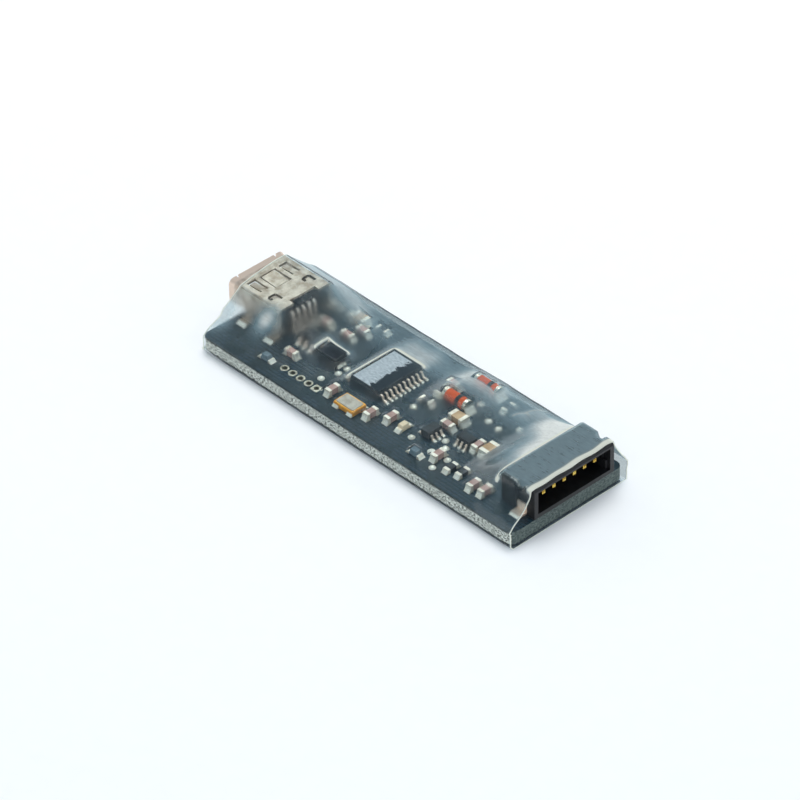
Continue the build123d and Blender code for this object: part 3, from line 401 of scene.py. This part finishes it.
def film_side(name):
    """One side of the film: the outer is glossy, the inner scatters so that things blur with depth."""
    s = Shader(name)
    outer = name == "film_outside"
    haze, pale, shade, touch, blur = (s.painted(key) for key in FILM_MAPS)
    drawn = s.noise(0.9, 4.0, 0.6, where=s.stretched(1.0, 2.0, 1.0))
    fine = s.noise(5.0, 3.0, 0.6, where=s.stretched(1.5, 1.0, 1.5))
    ripple = s.bump(s.maths("ADD", drawn, s.maths("MULTIPLY", fine, 0.1)), 0.015, 0.5)
    through = s.surface("Transparent", Color=rgb("F4F7F8"))
    film = s.surface(
        "Glass" if outer else "Refraction",
        {"distribution": "BECKMANN"},
        Color=rgb("F6FAFA"),
        Roughness=OUTER_ROUGHNESS if outer else blur,
        IOR=FILM_IOR,
        Normal=ripple,
    )
    if outer:
        # Where the film clings to what it covers, it is only a thin gloss
        gloss = s.surface("Glossy", Roughness=0.12, Normal=ripple)
        facing = s.node("ShaderNodeFresnel", IOR=1.4).outputs[0]
        cling = s.blend(s.maths("MULTIPLY", facing, 0.8), through, gloss)
        # Painted shade: a dark slate diffuse where the shade map is set, along the far edge and inside the
        # domes
        shade_colour = s.surface("Diffuse", Color=rgb("33444F"), Normal=ripple)
        film = s.blend(shade, s.blend(touch, film, cling), shade_colour)
        # The haze, partly a painted sky reflection, is blue where it is thin and white where it is thick
        combed = s.noise(1.0, 2.0, 0.6, where=s.stretched(0.3, 7.0, 7.0))
        haze_with_reflection = s.maths("MULTIPLY", haze, s.range(drawn, 0.25, 0.75, 0.88, 1.12))
        haze_with_reflection = s.maths("MULTIPLY", haze_with_reflection, s.range(combed, 0.3, 0.7, 0.92, 1.08))
        tint = s.mix(s.range(haze, 0.45, 1.0), rgb("ABC8D2"), rgb("FBFFFA"))
        # Pale lines, with painted highlights on the crumples and the dome crescents
        tint = s.mix(pale, tint, rgb("FAFCEE"))
        lit = s.surface("Diffuse", Color=tint, Normal=ripple)
        glow = s.surface("Translucent", Color=tint, Normal=ripple)
        cover = s.maths("MAXIMUM", haze_with_reflection, s.maths("MULTIPLY", pale, PALE_STRENGTH))
        film = s.blend(cover, film, s.blend(GLOW, lit, glow))
    else:
        film = s.blend(touch, film, through)
    # Shadow and diffuse rays pass straight through, which keeps the board bright
    path = s.node("ShaderNodeLightPath")
    passing = s.maths("MAXIMUM", path.outputs["Is Shadow Ray"], path.outputs["Is Diffuse Ray"])
    return s.done(s.blend(passing, film, through))


# ---------------------------------------------------------------- the draped film, in millimetres

FILM = 0.14  # wall
CLEAR = 0.025  # gap between the film and what it lies on
STEP = 0.15  # spacing of the drape's grid
SIDE = BOARD_HIGH[1] + 0.04  # half-width of the space inside the film
LOW_PARTS = 0.12  # parts lower than this don't lift the film
SHELL_LIP, HOUSING_LIP = 1.3, 0.1  # the film's ends take their height from this far inside the parts

# Shape. A place is X, Y, half-length and half-width. A fade is where it starts and ends. Turns are in radians
# from +X.
SLOPE = 0.5  # steepest fall along X
FAR_EDGE = 0.62  # height of the film's far edge above the board
FAR_SWELL, FAR_SWELL_X = 0.22, (1, 6)  # and how it swells and dips along the board
FAR_DIP, FAR_DIP_X = 0.25, (17, 22)
NEAR_FADE, FAR_FADE = 1.0, 0.5  # the smoothing stops this gently at the edges
SOFTENING = (90, 30, 10)  # rounds of smoothing, each followed by a lift clear of the parts
STRAIGHTENING, STRAIGHT_Y = 160, (3.6, 5.2)  # more rounds, towards the near edge
LAST_ROUNDS = 3
SAG = 0.55  # the loose film is necked in below the shell's near edge
SAG_AT = (USB_LOW[0], -5.4, 3.4, 1.5)
SAG_FADE = (-USB_LOW[1] + 1.4, -USB_LOW[1] + 2.0)
DOMES = ((11.7, 5.4, 0.85, 0.55), (12.5, 6.9, 1.1, 0.65))
DOME_RISE, DOME_TURN = 0.25, 0.83
FOLDS = ((15.2, 2.0, 1.2), (16.0, 5.0, 1.0), (14.2, -2.2, 1.4), (16.8, 6.6, 0.8))  # X, Y and turn
FOLD_RISE, FOLD_HALF_LENGTH, FOLD_HALF_WIDTH = 0.07, 2.2, 0.28
RIPPLE_RISE, RIPPLE_GAP = 0.03, (0.1, 0.8)

# Haze with painted sky reflections, from 0 for clear to 1 for milky
LIFTED = (0.1, 1.2)  # height above the board over which the film counts as lifted
THIN_HAZE = 0.04
PAST_MIDDLE_HAZE, PAST_MIDDLE_Y = 0.05, (-2.0, 2.0)
# Far out and towards the header the haze is partly a painted reflection of the sky on the slopes
FAR_HAZE_AND_REFLECTION, FAR_HAZE_Y, FAR_CLEAR_Y = 0.55, (2.0, 6.0), (7.3, 8.1)
FAR_PEAK, FAR_PEAK_AT = 0.3, (-1.5, 5.5, 5.5, 3.0)
HEADER_HAZE_AND_REFLECTION, HEADER_HAZE_Y = 1.05, (-5.4, 0.6)
HEADER_HAZE_START, HEADER_HAZE_FULL, HEADER_HAZE_CURVE = 12.2, HOUSING_LOW[0] - 0.4, 1.4
ON_PARTS_SHARE, ON_PARTS_GAP = 0.25, (0.02, 0.5)  # what is left of it where the film lies on a part
HOUSING_SIDE_HAZE, HOUSING_TOP_HAZE = 0.05, 0.36
# Painted reflections on the film, beside the receptacle and behind the shell's near leg
CORNER_REFLECTION, CORNER_AT = 0.68, (-23.6, -5.6, 1.6, 1.8)
LEG_REFLECTION, LEG_AT = 0.8, (-18.2, -4.0, 1.3, 1.5)  # behind the shell's near leg
HALO, HALO_REACH = 0.3, 1.3
MOST_HAZE = 0.97

# Pale lines, painted highlights, painted shades, clinging and blur
# Where the film leaves a tall part there is a pale line: node, its half-width, and how far out it runs
CONTACT_LINES = (
    ("microcontroller_body", 0.27, 0.15),
    ("bulk_capacitor_body", 0.22, 0.12),
    ("header_housing", 0.3, 0.42),
)
LINE_CORE = 0.6  # share of a line's width that is fully pale
LINE_OVERLAP, LINE_FADE = 0.15, 0.1  # a line runs along the USB side and the far side, and fades out
# Painted highlights along the housing's near edge, where the film crumples
CRUMPLE_HIGHLIGHT, CRUMPLE_HALF_WIDTH, CRUMPLE_X = 0.75, 0.13, (0.2, 0.6)
# Painted highlight: a pale crescent along each dome's far side, with painted shade inside the dome
CRESCENT, CRESCENT_HALF_WIDTH, CRESCENT_FADE = 0.6, 0.16, (0, 0.2)
DOME_SHADE, DOME_SHADE_RADIUS = 0.4, (0.4, 0.9)
FAR_SHADE, FAR_SHADE_Y = 0.4, (7.2, 7.9)
LEAST_BLUR, DEEP_BLUR, BLUR_GAP, BLUR_ROUNDS = 0.14, 0.32, (0.15, 1.5), 6
CLEARER, CLEARER_AT = 0.2, (USB_HIGH[0] + 0.2, 1.0, 1.6, 2.8)  # over the receptacle's contacts
NEAR_BLUR_SHARE, NEAR_BLUR_Y = 0.55, (-5.4, -3.4)
CLINGS_TO = ("microcontroller_body", "bulk_capacitor_body")
CLING_FADE, CLING_GAP = (0.0, 0.12), (0.05, 0.2)

XS = np.arange(USB_LOW[0] - 0.2, HOUSING_HIGH[0] + 1.0, STEP)
YS = np.linspace(-SIDE, SIDE, int(2 * SIDE / STEP) + 1)
GX, GY = np.meshgrid(XS, YS, indexing="ij")


def tops_below():
    """The height of the highest covered surface below each grid point, by looking straight down."""
    corners, faces, base = [], [], 0
    for name, node in NODES.items():
        if name == "heat_shrink_sleeve":
            continue
        corners += [v.co / MM for v in node.data.vertices]
        faces += [[base + i for i in p.vertices] for p in node.data.polygons]
        base += len(node.data.vertices)
    tree = BVHTree.FromPolygons(corners, faces)
    above, down = 20.0, Vector((0, 0, -1))
    heights = np.full(GX.shape, -1.0)
    for i, x in enumerate(XS):
        for j, y in enumerate(YS):
            hit = tree.ray_cast(Vector((x, y, above)), down)[0]
            if hit is not None:
                heights[i, j] = hit.z
    return heights


def smooth_step(value, low, high):
    t = np.clip((value - low) / (high - low), 0, 1)
    return t * t * (3 - 2 * t)


def stretch_over(floor, near, far):
    """A film pulled tight around each section: the upper hull of what lies below it."""
    z = floor.copy()
    z[:, 0], z[:, -1] = near, far
    for row in z:
        hull = []
        for j in range(len(YS)):
            while len(hull) > 1:
                a, b = hull[-2:]
                rise = (row[j] - row[a]) * (YS[b] - YS[a])
                if (row[b] - row[a]) * (YS[j] - YS[a]) > rise:
                    break
                hull.pop()
            hull.append(j)
        row[:] = np.interp(YS, YS[hull], row[hull])
    return z


def eased(z, slope):
    """Lift the film along X so that it never falls away from a high part faster than the slope."""
    z = z.copy()
    for i in range(1, len(z)):
        z[i] = np.maximum(z[i], z[i - 1] - slope * STEP)
    for i in range(len(z) - 2, -1, -1):
        z[i] = np.maximum(z[i], z[i + 1] - slope * STEP)
    return z


def widened(z):
    """Each point takes the highest of its neighbours, so that slopes start clear of the edges."""
    padded = np.pad(z, 1, mode="edge")
    rows, columns = z.shape
    return np.max([padded[i : i + rows, j : j + columns] for i in range(3) for j in range(3)], axis=0)


def rounded(z, passes):
    """Soften sharp creases in a height grid."""
    for _ in range(passes):
        padded = np.pad(z, 1, mode="edge")
        beside = padded[:-2, 1:-1] + padded[2:, 1:-1] + padded[1:-1, :-2] + padded[1:-1, 2:]
        z = (4 * z + beside) / 8
    return z


def turned(x, y, turn):
    """Each grid point's place along and across a direction, measured from (x, y)."""
    c, s = math.cos(turn), math.sin(turn)
    return (GX - x) * c + (GY - y) * s, (GY - y) * c - (GX - x) * s


def bump_at(x, y, rx, ry, turn=0.0):
    """A smooth bump of height 1 centred at (x, y)."""
    along, across = turned(x, y, turn)
    return np.exp(-((along / rx) ** 2) - (across / ry) ** 2)


def sample(grid, x, y):
    """Read a grid between its points."""
    u = np.clip((x - XS[0]) / (XS[1] - XS[0]), 0, len(XS) - 1.001)
    v = np.clip((y - YS[0]) / (YS[1] - YS[0]), 0, len(YS) - 1.001)
    i, j = u.astype(int), v.astype(int)
    a, b = u - i, v - j
    return (
        grid[i, j] * (1 - a) * (1 - b)
        + grid[i + 1, j] * a * (1 - b)
        + grid[i, j + 1] * (1 - a) * b
        + grid[i + 1, j + 1] * a * b
    )


def distance_outside(node):
    """How far each grid point lies outside a node's plan outline, negative inside."""
    low, high = box_mm(node)
    dx = np.maximum(low[0] - GX, GX - high[0])
    dy = np.maximum(low[1] - GY, GY - high[1])
    return np.where((dx > 0) & (dy > 0), np.hypot(dx, dy), np.maximum(dx, dy))


def covered_heights():
    """The lowest the film can lie."""
    floor = tops_below()
    # Beyond the ends the film keeps the height of the nearest covered station
    first = int(np.searchsorted(XS, USB_LOW[0] + SHELL_LIP))
    last = int(np.searchsorted(XS, HOUSING_HIGH[0] - HOUSING_LIP))
    floor[:first] = floor[first]
    floor[last:] = floor[last]
    floor = np.where(floor < BOARD_TOP + LOW_PARTS, BOARD_TOP, floor)
    return widened(floor) + CLEAR


def film_heights(floor):
    """The height of the film's inner side: pulled tight, eased, smoothed, then given its folds."""
    near = np.full(len(XS), BOARD_TOP + CLEAR)
    swell = FAR_SWELL * smooth_step(XS, *FAR_SWELL_X)
    far = BOARD_TOP + FAR_EDGE + swell - FAR_DIP * smooth_step(XS, *FAR_DIP_X)
    z = eased(stretch_over(floor, near, far), SLOPE)
    z[:, 0], z[:, -1] = near, far
    off_edges = smooth_step(GY, -SIDE, -SIDE + NEAR_FADE) * smooth_step(-GY, -SIDE, -SIDE + FAR_FADE)
    for passes in SOFTENING:
        z = np.maximum(z + off_edges * (rounded(z, passes) - z), floor)
    straight = smooth_step(-GY, *STRAIGHT_Y)
    z = np.maximum(z + straight * off_edges * (rounded(z, STRAIGHTENING) - z), floor)
    z = rounded(z, LAST_ROUNDS)
    z = np.maximum(z - SAG * bump_at(*SAG_AT) * smooth_step(-GY, *SAG_FADE), floor)
    for dome in DOMES:
        z += DOME_RISE * bump_at(*dome, DOME_TURN)
    for x, y, turn in FOLDS:
        z += FOLD_RISE * bump_at(x, y, FOLD_HALF_LENGTH, FOLD_HALF_WIDTH, turn)
    free = smooth_step(z - floor, *RIPPLE_GAP)
    z += free * RIPPLE_RISE * np.sin(1.7 * GX + 0.8 * GY) * np.sin(0.9 * GY - 0.5 * GX)
    return z


def haze_and_reflection_map(z, gap):
    """How milky the film is, with painted sky reflections on its slopes: most where it is stretched over a
    gap, far out and towards the header.
    """
    lifted = smooth_step(z - BOARD_TOP, *LIFTED)
    haze = THIN_HAZE * lifted + PAST_MIDDLE_HAZE * lifted * smooth_step(GY, *PAST_MIDDLE_Y)
    far_haze = FAR_HAZE_AND_REFLECTION + FAR_PEAK * bump_at(*FAR_PEAK_AT)
    far_band = smooth_step(GY, *FAR_HAZE_Y) * (1 - smooth_step(GY, *FAR_CLEAR_Y))
    haze += far_haze * lifted * far_band
    towards_header = np.clip((GX - HEADER_HAZE_START) / (HEADER_HAZE_FULL - HEADER_HAZE_START), 0, 1)
    haze += HEADER_HAZE_AND_REFLECTION * towards_header**HEADER_HAZE_CURVE * smooth_step(GY, *HEADER_HAZE_Y)
    haze *= ON_PARTS_SHARE + (1 - ON_PARTS_SHARE) * smooth_step(gap, *ON_PARTS_GAP)
    over_side = smooth_step(GY, HOUSING_LOW[1] - 0.1, HOUSING_LOW[1] + 0.2)
    on_housing = HOUSING_SIDE_HAZE + HOUSING_TOP_HAZE * over_side
    haze = np.where(GX > HOUSING_LOW[0] - 0.05, on_housing, haze)
    # Painted reflections: white patches on the slope beside the receptacle and behind the shell's near leg
    haze += CORNER_REFLECTION * bump_at(*CORNER_AT) + LEG_REFLECTION * bump_at(*LEG_AT)
    return haze


def contact_lines():
    """The pale lines beside the tall parts, and the halo of haze that surrounds them."""
    pale = np.zeros_like(GX)
    halo = np.zeros_like(GX)
    for node, width, out in CONTACT_LINES:
        outside = distance_outside(node)
        low, high = box_mm(node)
        shown = smooth_step(low[0] + LINE_OVERLAP - GX, -LINE_FADE, LINE_FADE)
        if node != "header_housing":
            shown = shown + smooth_step(GY - high[1] + LINE_OVERLAP, -LINE_FADE, LINE_FADE)
        shown = np.clip(shown, 0, 1)
        line = 1 - smooth_step(np.abs(outside - out), LINE_CORE * width, width)
        pale = np.maximum(pale, line * shown)
        fading = smooth_step(-outside, -HALO_REACH, 0.0) * smooth_step(outside, -0.05, 0.05)
        halo += HALO * fading * shown
    # Painted highlights on the crumples where the film turns over the housing's near edge
    across = (GY - HOUSING_LOW[1] - 0.05) / CRUMPLE_HALF_WIDTH
    from_housing = smooth_step(GX - HOUSING_LOW[0], *CRUMPLE_X)
    broken = np.clip(0.55 + np.sin(7.0 * GX) * np.sin(4.3 * GX + 1.0), 0, 1)
    crumple_highlight = np.exp(-(across**2)) * from_housing * broken
    return np.maximum(pale, CRUMPLE_HIGHLIGHT * crumple_highlight), halo


def dome_shade_and_highlight(pale, shade):
    """Painted light on each dome: painted shade inside it, and a painted highlight as a pale crescent along
    its far side.
    """
    for x, y, rx, ry in DOMES:
        along, across = turned(x, y, DOME_TURN)
        radius = np.hypot(along / rx, across / ry)
        rim = np.exp(-(((radius - 1) / CRESCENT_HALF_WIDTH) ** 2))
        pale = np.maximum(pale, CRESCENT * rim * smooth_step(across, *CRESCENT_FADE))
        shade = np.maximum(shade, DOME_SHADE * (1 - smooth_step(radius, *DOME_SHADE_RADIUS)))
    return pale, shade


def blur_map(gap):
    """Things blur with their depth below the film, and less along the near edge."""
    blur = LEAST_BLUR + DEEP_BLUR * smooth_step(rounded(gap, BLUR_ROUNDS), *BLUR_GAP)
    blur -= CLEARER * bump_at(*CLEARER_AT)
    return blur * (NEAR_BLUR_SHARE + (1 - NEAR_BLUR_SHARE) * smooth_step(GY, *NEAR_BLUR_Y))


def touch_map(gap):
    """Where the film clings to the flat tops of the two tall dark parts."""
    touch = np.zeros_like(gap)
    for node in CLINGS_TO:
        inside = smooth_step(-distance_outside(node), *CLING_FADE)
        touch = np.maximum(touch, inside * (1 - smooth_step(gap, *CLING_GAP)))
    return touch


def drape():
    """The film's inner height over the board, and the maps that its material reads."""
    floor = covered_heights()
    z = film_heights(floor)
    gap = z - floor
    pale, halo = contact_lines()
    pale, shade = dome_shade_and_highlight(pale, FAR_SHADE * smooth_step(GY, *FAR_SHADE_Y))
    maps = {
        "haze": np.clip(haze_and_reflection_map(z, gap) + halo, 0, MOST_HAZE),
        "pale": pale,
        "shade": shade,
        "touch": touch_map(gap),
        "blur": blur_map(gap),
    }
    return z, maps


# ---------------------------------------------------------------- the sleeve's mesh

INSIDE_LOW = FILM + 0.01  # the film's inner side under the board
WALL_POINTS, UNDER_POINTS = 8, 30
CORNER = 0.1  # how far the walls and the underside stop short of the lower corners
# The X at which the film is cut: over the top at each end, and elsewhere around the board
START, START_UNDER = -23.85, -24.25
END, END_WALLS, END_UNDER, END_FAR = 24.1, 24.2, 24.4, 24.55
START_REACH, START_REACH_Y = 0.7, (-3.2, 2.5)  # it reaches further along the shell than beside it
START_RETURN, START_RETURN_Y = 0.5, (5.0, 7.8)
HEADER_MIDDLE, HEADER_FADE, HEADER_DIP = 1.0, (5.0, 7.5), 0.3  # and stops shorter over the header
FAR_CORNER_Y = 7.9
CUT_WAVE = 0.05
WALL_STRETCH = 1.0  # the top of the far wall rises to meet the sheet, from this far below the board's top
LEAN, LEAN_AT, LEAN_HALF_HEIGHT = 0.16, 0.45, 0.5  # the far wall leans out, most above the board's top
LEAN_REACH = 0.6
ON_WALLS = {"haze": 0.04, "pale": 0.0, "shade": 0.0, "touch": 1.0, "blur": 0.2}
UNDER_HAZE = 0.12
# Cut edges are paler; on the header's top the pale band is wide and wavy
WIDE_BAND, WIDE_BAND_WAVE, NARROW_BAND = 0.75, 0.08, 0.12
WIDE_BAND_SHARE = 0.6
START_BAND = (-0.2, -0.1)
CUT_PROUD = 0.05  # the rounded middle of a cut edge stands this far beyond both sides


def ring_outline():
    """One ring around the board: each point's part of the film, its Y and its height."""
    wall_up = np.linspace(INSIDE_LOW + 0.12, BOARD_TOP - 0.05, WALL_POINTS)
    under_y = np.linspace(SIDE - CORNER, -SIDE + CORNER, UNDER_POINTS)
    ring = [("near", -SIDE, h) for h in wall_up]
    ring += [("top", y, 0.0) for y in YS]
    ring += [("far", SIDE, h) for h in wall_up[::-1]]
    ring += [("under", y, INSIDE_LOW) for y in under_y]
    return (np.array(column) for column in zip(*ring))


def cut_ends(part, y, over_header):
    """The X at which the film stops at its two ends, around its edge."""
    reach = START_REACH * smooth_step(y, *START_REACH_Y) - START_RETURN * smooth_step(y, *START_RETURN_Y)
    start = START - reach + CUT_WAVE * np.sin(1.3 * y)
    start = np.where(part == "under", START_UNDER, start)
    top_end = END - HEADER_DIP * over_header + CUT_WAVE * np.sin(1.7 * y + 0.5)
    end = np.where(part == "top", top_end, END_WALLS)
    end = np.where(part == "under", END_UNDER, end)
    end = np.where((part == "far") | ((part == "top") & (y > FAR_CORNER_Y)), END_FAR, end)
    return start, end


def film_rings(z, maps):
    """Points of the film's inner side, in rings along X, and the maps at those points."""
    part, ring_y, ring_z = ring_outline()
    over_header = (part == "top") * (1 - smooth_step(np.abs(ring_y - HEADER_MIDDLE), *HEADER_FADE))
    start, end = cut_ends(part, ring_y, over_header)
    count = int((XS[-1] - XS[0]) / STEP)
    along = np.linspace(0, 1, count)[:, None]
    x = start * (1 - along) + end * along
    y = np.repeat(ring_y[None, :], count, 0)
    on_sheet = (part == "top")[None, :]
    far_wall = (part == "far")[None, :]
    height = np.where(on_sheet, sample(z, x, y), ring_z)
    rise = sample(z, x, np.full_like(x, SIDE)) - BOARD_TOP
    share = np.clip((height - BOARD_TOP + WALL_STRETCH) / WALL_STRETCH, 0, 1)
    height = np.where(far_wall, height + rise * share, height)
    lean = LEAN * np.exp(-(((height - BOARD_TOP - LEAN_AT) / LEAN_HALF_HEIGHT) ** 2))
    y = y + np.where((y > SIDE - LEAN_REACH) & (height > BOARD_TOP - LEAN_REACH), lean, 0)

    rings = {key: np.where(on_sheet, sample(grid, x, y), ON_WALLS[key]) for key, grid in maps.items()}
    rings["haze"] = np.where((part == "under")[None, :], UNDER_HAZE, rings["haze"])
    rings["shade"] = np.where(far_wall, FAR_SHADE, rings["shade"])
    rings["touch"] = np.where(far_wall, 0.0, rings["touch"])
    wide = WIDE_BAND + WIDE_BAND_WAVE * np.sin(1.1 * y)
    band = np.where(over_header > WIDE_BAND_SHARE, wide, NARROW_BAND)
    cut_end = smooth_step(x - end, -band, -0.6 * band)
    cut_start = smooth_step(start - x, *START_BAND)
    rings["pale"] = np.maximum(rings["pale"], np.maximum(cut_end, cut_start))
    return np.stack([x, y, height], -1), rings


def unit(vectors):
    return vectors / np.linalg.norm(vectors, axis=-1, keepdims=True)


def film_sleeve():
    """The heat-shrink sleeve: a closed sheet with an inner side, an outer side and rounded cut ends."""
    inner, rings = film_rings(*drape())
    along, around = inner.shape[:2]
    across = np.roll(inner, -1, 1) - np.roll(inner, 1, 1)
    lengthwise = np.gradient(inner, axis=0)
    normal = unit(np.cross(across, lengthwise))
    if ((inner - inner.mean(axis=(0, 1))) * normal).sum(-1).mean() < 0:
        normal = -normal
    outer = inner + FILM * normal
    start_rim = (inner[0] + outer[0]) / 2 - unit(lengthwise[0]) * CUT_PROUD
    end_rim = (inner[-1] + outer[-1]) / 2 + unit(lengthwise[-1]) * CUT_PROUD
    rows = [*inner, end_rim, *outer[::-1], start_rim]

    faces = []
    inner_faces = []
    for row in range(len(rows)):
        here, there = row * around, (row + 1) % len(rows) * around
        for c in range(around):
            c2 = (c + 1) % around
            faces.append((here + c, here + c2, there + c2, there + c))
            inner_faces.append(row < along - 1)
    mesh = bpy.data.meshes.new("film_sleeve")
    mesh.from_pydata((np.concatenate(rows) * MM).tolist(), [], faces)
    for key, ring in rings.items():
        cut = np.ones((1, around)) if key == "pale" else ring[-1:]
        values = np.concatenate([ring, cut, ring[::-1], cut])
        layer = mesh.attributes.new(key, "FLOAT", "POINT")
        layer.data.foreach_set("value", values.astype(np.float32).ravel())
    mesh.materials.append(film_side("film_outside"))
    mesh.materials.append(film_side("film_inside"))
    mesh.polygons.foreach_set("material_index", np.array(inner_faces, int))
    mesh.polygons.foreach_set("use_smooth", np.ones(len(faces), bool))
    mesh.update()
    sheet = bpy.data.objects.new("film_sleeve", mesh)
    bpy.context.scene.collection.objects.link(sheet)
    return sheet


# ---------------------------------------------------------------- studio

CAMERA_ANGLES = (47.585, 37.727, -1.386)  # azimuth, elevation and roll, degrees
CAMERA_DISTANCE = 539.93  # mm
CAMERA_TARGET = (-0.539, -0.791, BOARD_TOP)
SENSOR, LENS = 36.0, 226.9
CLIP_START, CLIP_END = 0.01, 20.0
# Sine of the height above the horizon, and the sky's colour there
SKY = (
    (0.0, (1.0, 1.0, 1.0)),
    (0.38, (0.9, 0.95, 1.0)),
    (0.5, (0.15, 0.2, 0.25)),
    (0.8, (0.26, 0.31, 0.36)),
    (0.94, (0.5, 0.52, 0.54)),
)
SKY_STRENGTH = 1.3
KEY_POWER = 4.1
KEY_DIRECTION, KEY_DISTANCE, KEY_SIZE = (-0.25, 0.35, 1.0), 0.8, 0.5
KEY_COLOUR = (1.0, 0.99, 0.97)
FLOOR_HALF = 1.5


def aim(thing, place, target, upwards=Vector((0, 0, 1))):
    """Point a lamp's or camera's -Z at a target."""
    back = (place - target).normalized()
    right = upwards.cross(back).normalized()
    up = back.cross(right)
    thing.matrix_world = Matrix(
        (
            (right.x, up.x, back.x, place.x),
            (right.y, up.y, back.y, place.y),
            (right.z, up.z, back.z, place.z),
            (0, 0, 0, 1),
        )
    )


def camera():
    """A long lens from the front right, above the header end, with a slight roll."""
    azimuth, elevation, roll = (math.radians(a) for a in CAMERA_ANGLES)
    target = Vector(CAMERA_TARGET) * MM
    back = Vector(
        (
            math.sin(azimuth) * math.cos(elevation),
            -math.cos(azimuth) * math.cos(elevation),
            math.sin(elevation),
        )
    )
    right = Vector((math.cos(azimuth), math.sin(azimuth), 0))
    up = back.cross(right)
    data = bpy.data.cameras.new("camera")
    data.sensor_width = SENSOR
    data.lens = LENS
    data.clip_start = CLIP_START
    data.clip_end = CLIP_END
    thing = bpy.data.objects.new("camera", data)
    bpy.context.scene.collection.objects.link(thing)
    upwards = -right * math.sin(roll) + up * math.cos(roll)
    aim(thing, target + back * (CAMERA_DISTANCE * MM), target, upwards)
    bpy.context.scene.camera = thing


def key_lamp():
    """A square soft box that faces the object."""
    data = bpy.data.lights.new("key", "AREA")
    data.shape = "RECTANGLE"
    data.size = KEY_SIZE
    data.size_y = KEY_SIZE
    data.energy = KEY_POWER
    data.color = KEY_COLOUR
    thing = bpy.data.objects.new("key", data)
    bpy.context.scene.collection.objects.link(thing)
    # The film would mirror the soft box as a hard-edged patch
    thing.visible_glossy = False
    aim(thing, Vector(KEY_DIRECTION).normalized() * KEY_DISTANCE, Vector((0, 0, 0)))


def sky():
    """A white sweep that is bright near the horizon and dim overhead."""
    world = bpy.data.worlds.new("studio")
    world.use_nodes = True
    tree = world.node_tree
    tree.nodes.clear()
    out = tree.nodes.new("ShaderNodeOutputWorld")
    light = tree.nodes.new("ShaderNodeBackground")
    coords = tree.nodes.new("ShaderNodeTexCoord")
    split = tree.nodes.new("ShaderNodeSeparateXYZ")
    ramp = tree.nodes.new("ShaderNodeValToRGB")
    tree.links.new(coords.outputs["Generated"], split.inputs[0])
    tree.links.new(split.outputs[2], ramp.inputs[0])
    tree.links.new(ramp.outputs[0], light.inputs["Color"])
    tree.links.new(light.outputs[0], out.inputs["Surface"])
    fill_ramp(ramp.color_ramp.elements, SKY)
    light.inputs["Strength"].default_value = SKY_STRENGTH
    bpy.context.scene.world = world


def paper_floor():
    """A pale matt sheet under the object, with a faint paper grain."""
    half = FLOOR_HALF
    corners = [(-half, -half, 0), (half, -half, 0), (half, half, 0), (-half, half, 0)]
    mesh = bpy.data.meshes.new("floor")
    mesh.from_pydata(corners, [], [(0, 1, 2, 3)])
    s = Shader("paper")
    grain = s.mix(s.noise(0.4, 3.0), rgb("F4F6F8"), rgb("F8FAFB"))
    mesh.materials.append(s.done(s.principled(Base_Color=grain, Roughness=0.9)))
    sheet = bpy.data.objects.new("floor", mesh)
    bpy.context.scene.collection.objects.link(sheet)


paint_nodes()
sleeve = film_sleeve()
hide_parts("heat_shrink_sleeve")
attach(sleeve, BOARD)

paper_floor()
sky()
key_lamp()
camera()
view = bpy.context.scene.view_settings
view.view_transform = "Standard"
view.look = "None"
view.exposure = 0.0
